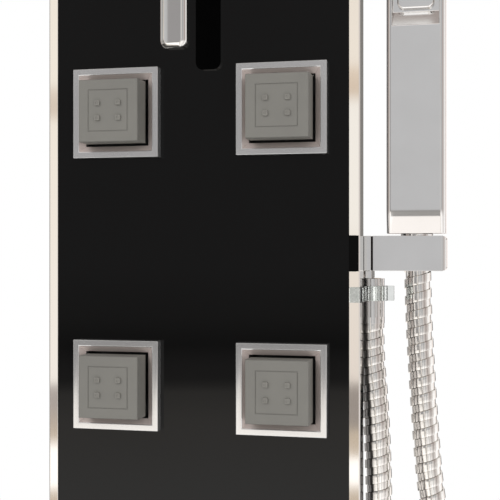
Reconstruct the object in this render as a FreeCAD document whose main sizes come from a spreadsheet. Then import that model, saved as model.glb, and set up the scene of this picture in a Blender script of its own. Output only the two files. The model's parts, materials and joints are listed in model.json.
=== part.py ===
"""Shower panel column: a glass-fronted panel with four swivelling body jets, a lever mixer, a diverter,
an overhead rain head, and a stick hand shower on a swivel holder with a ribbed metal hose.

Millimetres. +Z up, +X to the user's right, -Y out of the wall. The wall is the plane y = 0 and the origin
is the centre of the four wall screws. A "reach" is a distance out from the wall, so it lies at y = -reach.
"""
import FreeCAD, Part
import Sketcher
import math
import os
import re

SIZES = [
    # The panel.
    ("panel_width", 200.6, "overall width across both edge profiles"),
    ("panel_low", -680, "bottom of the panel, from the wall fixing's centre"),
    ("panel_high", 720, "top of the panel"),
    ("face_reach", 60, "black glass face, from the wall"),
    ("glass_thick", 5, "black glass"),
    ("rim_width", 6.5, "edge profile beside the glass"),
    ("rim_proud", 0.8, "edge profile's inner corner, proud of the glass"),
    ("rim_round", 0.7, "bevel at the profile's outer corner"),
    ("profile_depth", 16, "edge profile's side wall, front to back"),
    ("profile_wall", 2, "edge profile's side wall"),
    ("profile_flange", 6, "edge profile's flange behind the carrier sheet"),
    ("sheet_thick", 1.5, "folded sheet of the rear housing"),
    ("housing_inset", 14.3, "rear housing's side walls, inside the panel's edges"),
    ("housing_width", "=panel_width - 2 * housing_inset", "rear housing, outside its side walls"),
    ("housing_gap", 2, "rear housing's edges, off the wall"),
    ("cap_thick", 2, "end caps"),
    ("seat_gap", 0.1, "clearance where fixed pieces are slid together"),
    # The wall fixing.
    ("bracket_rise", 450, "wall bracket's screws, above and below the origin"),
    ("bracket_tall", 44, "wall bracket"),
    ("bracket_reach", 26, "wall bracket's ears"),
    ("bracket_thick", 2, "wall bracket's sheet"),
    ("wall_hole_spread", 100, "wall screws, side to side"),
    ("wall_hole_radius", 3, "wall screw holes"),
    ("side_screw_radius", 2.5, "screws through the housing's sides"),
    ("side_screw_head", 4.5, "their heads"),
    ("side_screw_fit", 0.1, "clearance round their shanks"),
    # The body jets.
    ("jets_z", -200, "centre of the four jets"),
    ("jet_margin", 47.3, "jets' centres, inside the panel's edges"),
    ("jet_spread", "=panel_width - 2 * jet_margin", "jets, side to side"),
    ("jet_rise", 170.8, "jets, one above the other"),
    ("frame_side", 56, "jet's square frame"),
    ("frame_proud", 6.5, "jet's frame, proud of the glass"),
    ("frame_flat", 3.7, "flat rim of the frame"),
    ("frame_slope", 3.7, "sloped inner edge of the frame"),
    ("pocket_side", 46, "square hole behind the frame"),
    ("pocket_deep", 13, "floor of the jet's pocket, behind the glass face"),
    ("socket_wall", 5, "jet socket's wall round the pocket"),
    ("socket_back", 34, "jet socket's back, from the wall"),
    ("head_side", 38.5, "jet's swivelling head"),
    ("head_proud", 13, "head's front, ahead of the frame's"),
    ("head_tail", 6, "head's rear edge, behind its pivot"),
    ("head_wall", 2.8, "head's side walls"),
    ("head_front", 5, "head's front wall"),
    ("head_round", 0.8, "head's softened edges"),
    ("inset_side", 26, "panel outlined on the head by a groove"),
    ("groove_wide", 0.6, "that groove"),
    ("groove_deep", 0.4, "that groove"),
    ("nozzle_side", 3, "rubber nozzle"),
    ("nozzle_proud", 0.7, "rubber nozzle"),
    ("nozzle_bore", 0.6, "radius of the nozzle's jet"),
    ("nozzle_spread", 13.5, "nozzles, side to side"),
    ("nozzle_rise", 9.3, "nozzles, one above the other"),
    ("ball_radius", 7.5, "jet's ball"),
    ("ball_gap", 0.3, "between the ball and its seat"),
    ("seat_back", 5, "mouth of the ball's seat, behind the pivot"),
    ("seat_wall", 1.2, "ball seat's neck, round its bore"),
    ("pivot_radius", 2.5, "trunnions of the ball"),
    ("pivot_fit", 0.05, "running clearance round a pin"),
    ("pivot_reach", 13, "trunnion's end, from the ball's centre"),
    ("ear_inner", 10.5, "head's ears, from the ball's centre"),
    ("ear_radius", 4.2, "head's ears"),
    ("water_bore", 2.5, "radius of the way through a ball"),
    ("tail_radius", 7, "socket's hose tail"),
    # The mixer and its lever.
    ("mixer_x", -4, "mixer's axis"),
    ("mixer_z", 5, "mixer's axis"),
    ("valve_hole", 22, "radius of the mixer's hole in the panel"),
    ("valve_radius", 24, "mixer body"),
    ("valve_back", 24, "mixer body's back, from the wall"),
    ("valve_neck", 20, "radius of the mixer body's neck"),
    ("valve_bore", 17, "radius of the cartridge's seat"),
    ("stem_radius", 8, "turning stem of the handle"),
    ("rose_radius", 29, "cover plate of the mixer"),
    ("rose_thick", 4, "cover plates"),
    ("turret_side", 42, "square hub of the handle"),
    ("turret_gap", 1, "hub, off its cover plate"),
    ("turret_proud", 34.5, "hub's front, ahead of the glass"),
    ("turret_front", "=face_reach + turret_proud", "hub's front, from the wall"),
    ("turret_round", 2, "hub's softened edges"),
    ("turret_bevel", 7, "bevel that lets the lever tip"),
    ("lever_wide", 17, "lever"),
    ("lever_thick", 8.5, "lever"),
    ("lever_proud", 44, "lever's front, ahead of the glass"),
    ("lever_drop", 87.5, "lever's lower end, below the mixer's axis"),
    ("lever_corner", 5, "corners of the lever's lower end"),
    ("lever_edge", 3.4, "rounding along the lever"),
    ("lever_pivot_rise", 14, "lever's pin, above the mixer's axis"),
    ("lever_pivot_back", 7.5, "lever's pin, behind its rear face"),
    ("lug_wide", 11, "lug under the lever"),
    ("lug_radius", 6, "lug round its pin"),
    ("lug_gap", 0.5, "slot beside the lug"),
    ("pin_radius", 2.5, "lever's pin"),
    ("inlet_radius", 10.475, "half-inch supply tails"),
    ("inlet_spread", 40, "supply tails, left and right of the mixer's axis"),
    ("inlet_end", 4, "supply tails' ends, from the wall"),
    ("inlet_shoulder", 22, "supply tails' shoulders, from the wall"),
    ("elbow_radius", 13, "elbows above the supply tails"),
    ("elbow_front", 46, "their closed ends, from the wall"),
    ("pipe_reach", 34, "centre line of the mixer's arms and of the tubes, from the wall"),
    ("port_bore", 7, "radius of the supply tails' bore"),
    # The diverter.
    ("diverter_rise", 95, "diverter's axis, above the mixer's"),
    ("diverter_radius", 20, "diverter body"),
    ("diverter_neck", 13, "diverter body's neck"),
    ("diverter_hole", 15, "radius of the diverter's hole in the panel"),
    ("diverter_rose", 24, "cover plate of the diverter"),
    ("knob_side", 34, "diverter's square knob"),
    ("knob_proud", 32, "knob's front, ahead of the glass"),
    ("knob_front", "=face_reach + knob_proud", "knob's front, from the wall"),
    ("knob_stem", 6, "radius of the knob's stem"),
    ("tube_radius", 6, "brass tubes behind the panel"),
    # The overhead rain head.
    ("arm_z", 690, "rain arm, from the wall fixing's centre"),
    ("arm_wide", 30, "rain arm"),
    ("arm_tall", 12, "rain arm"),
    ("arm_round", 2, "rain arm's long edges"),
    ("arm_flange", 50, "square plate at the arm's root"),
    ("rain_reach", 400, "rain head's axis, from the wall"),
    ("arm_tip", 20, "rain arm, beyond the rain head's axis"),
    ("arm_reach", "=rain_reach + arm_tip", "rain arm's end, from the wall"),
    ("rain_side", 200, "square rain head"),
    ("rain_thick", 8, "rain head"),
    ("rain_drop", 26, "rain head's ball, below the arm"),
    ("rain_ball", 9, "radius of that ball"),
    ("rain_cup", 12, "radius of the cup over the ball"),
    ("rain_mouth", 5.5, "mouth of that cup, above the ball's centre"),
    ("rain_clear", 14, "rain head's plate, below the ball's centre"),
    ("rain_ear", 14, "rain head's ears, from the ball's centre"),
    ("rain_pin_reach", 17.5, "pins of the ball"),
    ("rain_corner", 3, "rain head's corners"),
    ("rain_pitch", 31, "rain head's nozzles, apart"),
    ("rain_margin", 8, "rubber sheet beyond its outer nozzles"),
    ("rain_nozzle", 1.6, "radius of a nozzle"),
    ("rain_nozzle_proud", 2.4, "nozzle, below the plate"),
    # The holder for the hand shower.
    ("holder_z", -202.7, "holder's centre, from the wall fixing's"),
    ("holder_tall", 21.6, "holder"),
    ("holder_front", 42, "holder's front, from the wall"),
    ("holder_depth", 24, "holder, front to back"),
    ("seam_out", 4.4, "fixed part's end, beyond the panel's edge"),
    ("holder_seam", "=panel_width / 2 + seam_out", "fixed part's end, right of the axis"),
    ("holder_seam_gap", 1.1, "gap before the swivelling block"),
    ("block_long", 44.4, "swivelling block"),
    ("holder_end", "=holder_seam + holder_seam_gap + block_long", "swivelling block's end"),
    ("holder_round", 2.5, "swivelling block's outer edges"),
    ("holder_pin", 5, "radius of the swivel's pin"),
    ("holder_pin_long", 9, "pin, each side of the seam"),
    ("cradle_out", 31.5, "hand shower's axis, beyond the panel's edge"),
    ("cradle_x", "=panel_width / 2 + cradle_out", "hand shower's axis"),
    ("cradle_deep", 11, "seat for the cone nut, below the holder's top"),
    ("inset_block", 4.1, "black block let into the edge profile"),
    # The hand shower.
    ("hand_foot", 1.3, "hand shower's foot, above the holder"),
    ("hand_wide", 35.8, "hand shower"),
    ("hand_depth", 22, "hand shower"),
    ("hand_tall", 224, "hand shower"),
    ("hand_edge", 3, "its long edges"),
    ("scoop_rise", 127.5, "scooped front, above the foot"),
    ("scoop_side", 3.6, "walls beside the scoop"),
    ("scoop_deep", 5, "scoop"),
    ("scoop_slope", 9, "sloping start of the scoop"),
    ("spray_gap", 3, "spray plate, inside the scoop"),
    ("spray_thick", 3.4, "spray plate"),
    ("spray_corner", 4, "spray plate's corners"),
    ("spray_rows", 8, "rows of nozzles on the spray plate"),
    ("spray_pitch", 7.2, "those nozzles, apart"),
    ("spray_proud", 1, "those nozzles, ahead of the plate"),
    ("cone_radius", 10, "cone nut at the hose's end"),
    ("cone_fit", 0.4, "between the cone nut and its seat"),
    ("hose_fit", 0.7, "between the hose and what it runs through"),
    ("hand_bore", 34, "bore up into the hand shower"),
    # The hose and its outlet.
    ("outlet_out", 3, "hose outlet's axis, beyond the panel's edge"),
    ("outlet_x", "=panel_width / 2 + outlet_out", "hose outlet's axis"),
    ("hose_reach", 30, "hose outlet and cradle, from the wall"),
    ("boss_tall", 4.8, "boss under the holder's fixed part"),
    ("nipple_radius", 6.5, "outlet nipple"),
    ("nipple_bore", 4, "radius of its bore"),
    ("nipple_long", 22, "outlet nipple"),
    ("nut_radius", 8.5, "slim nut on the outlet"),
    ("nut_long", 27.9, "slim nut"),
    ("nut_collar", 4, "plain collar at the nut's foot"),
    ("nut_flutes", 12, "flutes round the nut"),
    ("nut_flute", 0.9, "radius of a flute"),
    ("hose_radius", 8, "hose, over its ribs"),
    ("hose_groove", 1.2, "depth between the ribs"),
    ("hose_bore", 4.5, "radius of the hose's bore"),
    ("hose_ribs", 64, "ribs along the hose"),
    ("clip_drop", 9.2, "clip's top, below the nut's"),
    ("clip_tall", 9.4, "clear clip"),
    ("clip_wall", 1.6, "clear clip"),
    ("clip_tongue", 6.2, "clip's tongue over the edge profile"),
    ("clip_ear", 6, "clip's ear beyond the nut"),
]

HOSE_STRAIGHT = 20  # the hose leaves each fitting this far in a straight line
HOSE_BEND_SHARE = 0.45  # an arc's tangent, as a share of the shorter run beside it
# The corners of the hanging hose: millimetres right of the axis, and from the jets' centre.
HOSE_DOWN = [(106.1, -94), (108.2, -140), (108.6, -190), (107.2, -244), (104.9, -298), (102.7, -352),
             (100.8, -406), (97.6, -458), (92, -508), (84, -552), (75.6, -592), (70.8, -632), (94.6, -689.4)]
HOSE_UP = [(152, -713), (209.4, -689.4), (233.2, -632), (232.4, -584), (227.6, -536), (219, -488),
           (208.6, -440), (197.2, -392), (185.2, -342), (173.2, -293), (161.8, -246), (151, -200),
           (140.3, -155), (135.9, -96)]

DOC = FreeCAD.newDocument("ShowerPanelColumn")
SHEET = DOC.addObject("Spreadsheet::Sheet", "Sizes")
for row, (alias, number, note) in enumerate(SIZES, start=1):
    SHEET.set("A%d" % row, note)
    SHEET.set("B%d" % row, str(number))
    SHEET.setAlias("B%d" % row, alias)
DOC.recompute()
ALIASES = {alias for alias, _, _ in SIZES}
PIECES = []


def size(alias):
    """The value of one cell of the sheet."""
    return float(SHEET.get(alias))


def formula(text):
    """The text with each size written as a reference to the sheet."""
    return re.sub(r"[a-z_]+", lambda word: "Sizes." * (word[0] in ALIASES) + word[0], str(text))


def bind(target, **places):
    """Bind properties to formulas: Base_x stands for Placement.Base.x."""
    for name, text in places.items():
        path = "Placement." + name.replace("_", ".") if name.startswith("Base") else name
        target.setExpression(path, formula(text))
    return target


def piece(label, made):
    """Give a sub-part its own label and keep it for writing."""
    made.Label = label
    PIECES.append(made)
    return made


# Part primitives. Each takes its limits as formulas; near and far are reaches from the wall.

def block(left, right, near, far, low, high):
    made = DOC.addObject("Part::Box", "Block")
    bind(made, Length="(%s) - (%s)" % (right, left), Width="(%s) - (%s)" % (far, near),
         Height="(%s) - (%s)" % (high, low))
    return bind(made, Base_x=left, Base_y="-(%s)" % far, Base_z=low)


def rod(axis, radius, start, end, across, up):
    """A cylinder along X, along Y (from one reach out to another) or along Z."""
    made = DOC.addObject("Part::Cylinder", "Rod")
    turns = {"X": ((0, 1, 0), 90), "Y": ((1, 0, 0), 90), "Z": ((0, 0, 1), 0)}
    pivot, angle = turns[axis]
    made.Placement = FreeCAD.Placement(FreeCAD.Vector(), FreeCAD.Rotation(FreeCAD.Vector(*pivot), angle))
    bind(made, Radius=radius, Height="(%s) - (%s)" % (end, start))
    if axis == "X":
        return bind(made, Base_x=start, Base_y="-(%s)" % across, Base_z=up)
    if axis == "Y":
        return bind(made, Base_x=across, Base_y="-(%s)" % start, Base_z=up)
    return bind(made, Base_x=across, Base_y="-(%s)" % up, Base_z=start)


def cone(low_radius, high_radius, low, high, x, reach):
    made = DOC.addObject("Part::Cone", "Cone")
    bind(made, Radius1=low_radius, Radius2=high_radius, Height="(%s) - (%s)" % (high, low))
    return bind(made, Base_x=x, Base_y="-(%s)" % reach, Base_z=low)


def ball(radius, x, reach, z):
    made = DOC.addObject("Part::Sphere", "Ball")
    bind(made, Radius=radius)
    return bind(made, Base_x=x, Base_y="-(%s)" % reach, Base_z=z)


def fuse(*shapes):
    made = DOC.addObject("Part::MultiFuse", "Fuse")
    made.Shapes = list(shapes)
    return made


def cut(base, *tools):
    made = DOC.addObject("Part::Cut", "Cut")
    made.Base = base
    made.Tool = tools[0] if len(tools) == 1 else fuse(*tools)
    return made


def gather(*shapes):
    """Several equal pieces that share one node."""
    made = DOC.addObject("Part::Compound", "Set")
    made.Links = list(shapes)
    return made


# PartDesign bodies. Sketches on XZ_Plane lie at a reach from the wall, and pads on them grow outwards.

def body(label):
    return piece(label, DOC.addObject("PartDesign::Body", "Body_" + label))


def sketch(owner, role, offset):
    plane = next(item for item in owner.Origin.OriginFeatures if item.Role == role)
    made = owner.newObject("Sketcher::SketchObject", owner.Name + "_sketch")
    made.AttachmentSupport = (plane, [""])
    made.MapMode = "FlatFace"
    made.setExpression("AttachmentOffset.Base.z", formula(offset))
    return made


def pin_point(made, geometry, point, place):
    """Hold a point of a sketch at formulas measured from the sketch's origin."""
    for kind, text in zip(("DistanceX", "DistanceY"), place):
        if str(text) == "0":
            on_axis = -2 if kind == "DistanceX" else -1
            made.addConstraint(Sketcher.Constraint("PointOnObject", geometry, point, on_axis))
            continue
        index = made.addConstraint(Sketcher.Constraint(kind, -1, 1, geometry, point, 1.0))
        made.setExpression("Constraints[%d]" % index, formula(text))


def outline(made, points):
    """A closed outline of straight edges through formula points."""
    first = made.GeometryCount
    count = len(points)
    turns = [math.tau * k / count for k in range(count)]
    corners = [FreeCAD.Vector(math.cos(turn), math.sin(turn), 0) for turn in turns]
    for k in range(count):
        made.addGeometry(Part.LineSegment(corners[k], corners[(k + 1) % count]))
    for k in range(count):
        made.addConstraint(Sketcher.Constraint("Coincident", first + k, 2, first + (k + 1) % count, 1))
    for k, place in enumerate(points):
        pin_point(made, first + k, 1, place)
    return made


def rectangle(made, left, right, low, high):
    return outline(made, [(left, low), (right, low), (right, high), (left, high)])


def square(made, x, y, half):
    return rectangle(made, "%s - %s" % (x, half), "%s + %s" % (x, half), "%s - %s" % (y, half),
                     "%s + %s" % (y, half))


def circle(made, x, y, radius):
    index = made.addGeometry(Part.Circle(FreeCAD.Vector(1, 1, 0), FreeCAD.Vector(0, 0, 1), 1))
    pin_point(made, index, 3, (x, y))
    radius_index = made.addConstraint(Sketcher.Constraint("Radius", index, 1.0))
    made.setExpression("Constraints[%d]" % radius_index, formula(radius))
    return made


def feature(owner, kind, profile, length, midplane=False):
    made = owner.newObject("PartDesign::" + kind, owner.Name + "_" + kind)
    made.Profile = profile
    made.Midplane = midplane
    made.setExpression("Length", formula(length))
    DOC.recompute()
    return made


def pad(owner, profile, length):
    return feature(owner, "Pad", profile, length)


def pocket(owner, profile, length):
    """Cut from the profile's plane back into the solid, and make sure that it did cut."""
    before = owner.Shape.Volume
    made = feature(owner, "Pocket", profile, length)
    if not 0 < made.Shape.Volume < before:
        raise RuntimeError(owner.Label + ": a pocket cuts nothing or too much")
    return made


def dress(owner, kind, amount, keep):
    """Fillet or chamfer the edges of the newest feature for which keep(edge) holds."""
    base = owner.Tip
    names = ["Edge%d" % (k + 1) for k, edge in enumerate(base.Shape.Edges) if keep(edge)]
    made = owner.newObject("PartDesign::" + kind, owner.Name + "_" + kind)
    made.Base = (base, names)
    made.setExpression("Radius" if kind == "Fillet" else "Size", formula(amount))
    DOC.recompute()
    if not names or made.Shape.isNull() or not made.Shape.Volume > 0:
        raise RuntimeError("%s: a %s fails" % (owner.Label, kind))
    return made


def runs_along(axis):
    """Test for straight edges along one axis."""
    unit = FreeCAD.Vector(*axis)

    def keep(edge):
        if edge.Curve.TypeId != "Part::GeomLine":
            return False
        return abs(abs(edge.tangentAt(edge.FirstParameter).dot(unit)) - 1) < 1e-6
    return keep


def middle(edge):
    return edge.CenterOfMass


# The panel.

HOUSING_FRONT = "face_reach - glass_thick"
SHEET_BACK = HOUSING_FRONT + " - sheet_thick"
GLASS_HALF = "panel_width / 2 - rim_width"
FRAME_FRONT = "face_reach + frame_proud"
JET_PIVOT = FRAME_FRONT + " - frame_slope"
DIVERTER_Z = "mixer_z + diverter_rise"
FILL_LOW = "panel_low + cap_thick"
FILL_TALL = "panel_high - panel_low - 2 * cap_thick"
JETS = [(1, -1, 1), (2, 1, 1), (3, -1, -1), (4, 1, -1)]


def jet_place(side, level):
    return "%d * jet_spread / 2" % side, "jets_z + %d * jet_rise / 2" % level


def cut_panel_holes(owner, reach, deep):
    """The holes that the glass and the sheet behind it share."""
    holes = sketch(owner, "XZ_Plane", reach)
    for _, side, level in JETS:
        x, z = jet_place(side, level)
        square(holes, x, z, "pocket_side / 2")
    circle(holes, "mixer_x", "mixer_z", "valve_hole")
    circle(holes, "mixer_x", DIVERTER_Z, "diverter_hole")
    circle(holes, "mixer_x", "arm_z", "tube_radius + seat_gap")
    pocket(owner, holes, deep)


def front_glass():
    made = body("front_panel")
    face = rectangle(sketch(made, "XZ_Plane", HOUSING_FRONT), "-(%s) + seat_gap" % GLASS_HALF,
                     GLASS_HALF + " - seat_gap", FILL_LOW, "panel_high - cap_thick")
    pad(made, face, "glass_thick")
    cut_panel_holes(made, "face_reach", "glass_thick")


def rear_housing():
    made = body("rear_housing")
    edge = GLASS_HALF + " - seat_gap"
    wall = "housing_width / 2"
    inner = wall + " - sheet_thick"
    half = [(edge, "-(%s)" % HOUSING_FRONT), (edge, "-(%s)" % SHEET_BACK), (wall, "-(%s)" % SHEET_BACK),
            (wall, "-housing_gap"), (inner, "-housing_gap"), (inner, "-(%s)" % SHEET_BACK)]
    mirrored = [("-(%s)" % x, y) for x, y in reversed(half)]
    section = outline(sketch(made, "XY_Plane", FILL_LOW), half + mirrored)
    pad(made, section, FILL_TALL)
    cut_panel_holes(made, HOUSING_FRONT, "sheet_thick")
    screws = sketch(made, "YZ_Plane", "housing_width / 2 + 1")
    for level in ("-bracket_rise", "bracket_rise"):
        circle(screws, "-bracket_reach / 2", level, "side_screw_radius + side_screw_fit")
    pocket(made, screws, "housing_width + 2")
    port = sketch(made, "YZ_Plane", "housing_width / 2 + 1")
    circle(port, "-hose_reach", "holder_z", "tube_radius + side_screw_fit")
    pocket(made, port, "sheet_thick + 2")


def edge_profile(label, side):
    """A drawn profile: side wall, lip beside the glass, and a flange behind the carrier sheet."""
    made = body(label)
    outer = "panel_width / 2"
    flange = "panel_width / 2 - rim_width"
    points = [
        (flange, "-(face_reach + rim_proud)"),
        (outer + " - rim_round", "-(face_reach + rim_proud / 4)"),
        (outer, "-(face_reach + rim_proud / 4 - rim_round)"),
        (outer, "profile_depth - face_reach"),
        (outer + " - profile_wall", "profile_depth - face_reach"),
        (outer + " - profile_wall", "-(%s - sheet_thick)" % SHEET_BACK),
        (flange + " - profile_flange", "-(%s - sheet_thick)" % SHEET_BACK),
        (flange + " - profile_flange", "-(%s)" % SHEET_BACK),
        (flange, "-(%s)" % SHEET_BACK),
    ]
    section = [("%d * (%s)" % (side, x), y) for x, y in points]
    pad(made, outline(sketch(made, "XY_Plane", FILL_LOW), section), FILL_TALL)
    if side > 0:
        window = rectangle(sketch(made, "XZ_Plane", "face_reach + 2"), flange + " - seat_gap",
                           flange + " + inset_block + seat_gap", "holder_z - holder_tall / 2 - seat_gap",
                           "holder_z + holder_tall / 2 + seat_gap")
        pocket(made, window, "profile_depth + 2")


def end_cap(label, low):
    made = body(label)
    outer = "panel_width / 2"
    wall = "housing_width / 2"
    half = [(outer, "-(face_reach + rim_proud / 4)"), (outer, "profile_depth - face_reach"),
            (wall, "profile_depth - face_reach"), (wall, "-housing_gap")]
    mirrored = [("-(%s)" % x, y) for x, y in reversed(half)]
    pad(made, outline(sketch(made, "XY_Plane", low), half + mirrored), "cap_thick")


def wall_bracket(label, level):
    """A folded plate on the wall, whose ears the housing slides over."""
    made = body(label)
    inner = "housing_width / 2 - sheet_thick - seat_gap"
    half = [(inner, "0"), (inner, "-bracket_reach"), (inner + " - bracket_thick", "-bracket_reach"),
            (inner + " - bracket_thick", "-bracket_thick")]
    mirrored = [("-(%s)" % x, y) for x, y in reversed(half)]
    low = "%d * bracket_rise - bracket_tall / 2" % level
    pad(made, outline(sketch(made, "XY_Plane", low), half + mirrored), "bracket_tall")
    centre = "%d * bracket_rise" % level
    wall = sketch(made, "XZ_Plane", "bracket_thick + 1")
    for side in (-1, 1):
        circle(wall, "%d * wall_hole_spread / 2" % side, centre, "wall_hole_radius")
    pocket(made, wall, "bracket_thick + 2")
    ears = circle(sketch(made, "YZ_Plane", "housing_width / 2"), "-bracket_reach / 2", centre,
                  "side_screw_radius + side_screw_fit")
    pocket(made, ears, "housing_width")


def bracket_screws():
    """Four screws through the housing's sides into the brackets' ears."""
    screws = []
    for side in (-1, 1):
        for level in ("-bracket_rise", "bracket_rise"):
            wall = "housing_width / 2"
            shank_end = wall + " - sheet_thick - seat_gap - bracket_thick - 3"
            limits = [shank_end, wall]
            head = [wall, wall + " + side_screw_head / 2"]
            if side < 0:
                limits = ["-(%s)" % text for text in reversed(limits)]
                head = ["-(%s)" % text for text in reversed(head)]
            shank = rod("X", "side_screw_radius", limits[0], limits[1], "bracket_reach / 2", level)
            top = rod("X", "side_screw_head", head[0], head[1], "bracket_reach / 2", level)
            screws.append(fuse(shank, top))
    piece("bracket_screws", gather(*screws))


# The body jets. Each is modelled about its own axis, then moved to its place.

def place_jet(made, side, level):
    x, z = jet_place(side, level)
    bind(made, Base_x=x, Base_z=z)


def jet_frame(number, side, level):
    made = body("jet_%d_frame" % number)
    half = "frame_side / 2"
    inner = half + " - frame_flat - frame_slope"
    face = sketch(made, "XZ_Plane", "face_reach")
    rectangle(face, "-" + half, half, "-" + half, half)
    rectangle(face, "-(%s)" % inner, inner, "-(%s)" % inner, inner)
    pad(made, face, "frame_proud")
    front = -(size("face_reach") + size("frame_proud"))
    reach = size("frame_side") / 2 - 1
    dress(made, "Chamfer", "frame_slope", lambda edge: abs(middle(edge).y - front) < 1e-6
          and max(abs(middle(edge).x), abs(middle(edge).z)) < reach)
    place_jet(made, side, level)


def jet_socket(number, side, level):
    """A cup behind the panel whose neck carries the ball's seat and whose tail takes the water in."""
    outer = "pocket_side / 2 + socket_wall"
    inner = "pocket_side / 2"
    floor = "face_reach - pocket_deep"
    cup = block("-(%s)" % outer, outer, "socket_back", SHEET_BACK, "-(%s)" % outer, outer)
    hollow = block("-(%s)" % inner, inner, floor, "face_reach", "-(%s)" % inner, inner)
    seat = "ball_radius + ball_gap"
    neck_end = JET_PIVOT + " - seat_back"
    neck = rod("Y", seat + " + seat_wall", floor + " - 1", neck_end, "0", "0")
    tail = rod("Y", "tail_radius", "socket_back - 12", "socket_back + 1", "0", "0")
    bore = rod("Y", "water_bore * 2", "socket_back - 14", JET_PIVOT + " - ball_radius", "0", "0")
    made = cut(fuse(cut(cup, hollow), neck, tail), ball(seat, "0", JET_PIVOT, "0"), bore)
    place_jet(piece("jet_%d_socket" % number, made), side, level)


def jet_ball(number, side, level):
    """The ball turns side to side in its seat, and its trunnions carry the head."""
    pins = rod("X", "pivot_radius", "-pivot_reach", "pivot_reach", JET_PIVOT, "0")
    way = rod("Y", "water_bore", JET_PIVOT + " - ball_radius - 1", JET_PIVOT + " + ball_radius + 1", "0", "0")
    made = cut(fuse(ball("ball_radius", "0", JET_PIVOT, "0"), pins), way)
    place_jet(piece("jet_%d_ball" % number, made), side, level)


def jet_head(number, side, level):
    """A deep square cap, hollow behind, with two ears on the ball's trunnions."""
    made = body("jet_%d_head" % number)
    half = "head_side / 2"
    rear = JET_PIVOT + " - head_tail"
    front = FRAME_FRONT + " + head_proud"
    block_face = rectangle(sketch(made, "XZ_Plane", rear), "-" + half, half, "-" + half, half)
    pad(made, block_face, "%s - (%s)" % (front, rear))
    dress(made, "Fillet", "head_round", lambda edge: middle(edge).y < -(size("face_reach") + 1)
          and not runs_along((0, 1, 0))(edge))
    hollow = sketch(made, "XZ_Plane", front + " - head_front")
    inner = half + " - head_wall"
    rectangle(hollow, "-(%s)" % inner, inner, "-(%s)" % inner, inner)
    pocket(made, hollow, front)
    for turn in (-1, 1):
        near = "%d * ear_inner" % turn
        far = "%d * (%s)" % (turn, inner)
        low, high = (near, far) if turn > 0 else (far, near)
        ear = sketch(made, "XZ_Plane", JET_PIVOT + " - ear_radius")
        rectangle(ear, low, high, "-ear_radius", "ear_radius")
        pad(made, ear, front + " - head_front + 1 - (%s - ear_radius)" % JET_PIVOT)
    bore = circle(sketch(made, "YZ_Plane", "pivot_reach + seat_gap"), "-(%s)" % JET_PIVOT, "0",
                  "pivot_radius + pivot_fit")
    pocket(made, bore, "2 * (pivot_reach + seat_gap)")
    groove = sketch(made, "XZ_Plane", front)
    for inset in ("inset_side / 2", "inset_side / 2 - groove_wide"):
        rectangle(groove, "-(%s)" % inset, inset, "-(%s)" % inset, inset)
    pocket(made, groove, "groove_deep")
    holes = sketch(made, "XZ_Plane", front)
    for column, line in ((-1, -1), (-1, 1), (1, -1), (1, 1)):
        square(holes, "%d * nozzle_spread / 2" % column, "%d * nozzle_rise / 2" % line, "nozzle_side / 2")
    pocket(made, holes, "head_front + 1")
    place_jet(made, side, level)


def jet_nozzles(number, side, level):
    """Four rubber nozzles, seated in the head's square holes."""
    front = FRAME_FRONT + " + head_proud"
    nozzles = []
    for column, line in ((-1, -1), (-1, 1), (1, -1), (1, 1)):
        x = "%d * nozzle_spread / 2" % column
        z = "%d * nozzle_rise / 2" % line
        rim = "nozzle_side / 2"
        stud = block("%s - %s" % (x, rim), "%s + %s" % (x, rim), front + " - head_front",
                     front + " + nozzle_proud", "%s - %s" % (z, rim), "%s + %s" % (z, rim))
        nozzles.append(cut(stud, rod("Y", "nozzle_bore", front + " - head_front - 1", front + " + 2", x, z)))
    place_jet(piece("jet_%d_nozzles" % number, gather(*nozzles)), side, level)


# The mixer: a brass body behind the panel, and a lever that turns and tips.

LEVER_FRONT = "face_reach + lever_proud"
LEVER_BACK = LEVER_FRONT + " - lever_thick"
LEVER_PIN_REACH = LEVER_BACK + " - lever_pivot_back"
LEVER_PIN_Z = "mixer_z + lever_pivot_rise"
TURRET_BACK = "face_reach + rose_thick + turret_gap"


def mixer_body():
    """A barrel for the cartridge, with an arm and an elbow to each supply tail; the tails face the wall."""
    barrel = rod("Y", "valve_radius", "valve_back", SHEET_BACK, "mixer_x", "mixer_z")
    neck = rod("Y", "valve_neck", SHEET_BACK + " - 1", "face_reach + rose_thick", "mixer_x", "mixer_z")
    left = "mixer_x - inlet_spread"
    right = "mixer_x + inlet_spread"
    arms = rod("X", "inlet_radius", left, right, "pipe_reach", "mixer_z")
    riser = rod("Z", "tube_radius", "mixer_z", DIVERTER_Z + " - diverter_radius", "mixer_x", "pipe_reach")
    solids = [barrel, neck, arms, riser]
    hollows = [rod("Y", "valve_bore", "valve_back + 8", "face_reach + rose_thick + 1", "mixer_x", "mixer_z"),
               rod("X", "port_bore - 0.5", left, right, "pipe_reach", "mixer_z")]
    for x in (left, right):
        solids.append(rod("Y", "elbow_radius", "inlet_shoulder", "elbow_front", x, "mixer_z"))
        solids.append(rod("Y", "inlet_radius", "inlet_end", "inlet_shoulder + 1", x, "mixer_z"))
        hollows.append(rod("Y", "port_bore", "inlet_end - 1", "pipe_reach + port_bore", x, "mixer_z"))
    piece("mixer_body", cut(fuse(*solids), *hollows))


def mixer_cartridge():
    """The ceramic cartridge, bored for the handle's stem."""
    outer = rod("Y", "valve_bore - seat_gap", "valve_back + 8", "face_reach", "mixer_x", "mixer_z")
    bore = rod("Y", "stem_radius + pivot_fit", HOUSING_FRONT + " - 12", "face_reach + 1", "mixer_x",
               "mixer_z")
    piece("mixer_cartridge", cut(outer, bore))


def cover_plate(label, radius, hole, z):
    ring = rod("Y", radius, "face_reach", "face_reach + rose_thick", "mixer_x", z)
    piece(label, cut(ring, rod("Y", hole, "face_reach - 1", "face_reach + rose_thick + 1", "mixer_x", z)))


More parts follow.
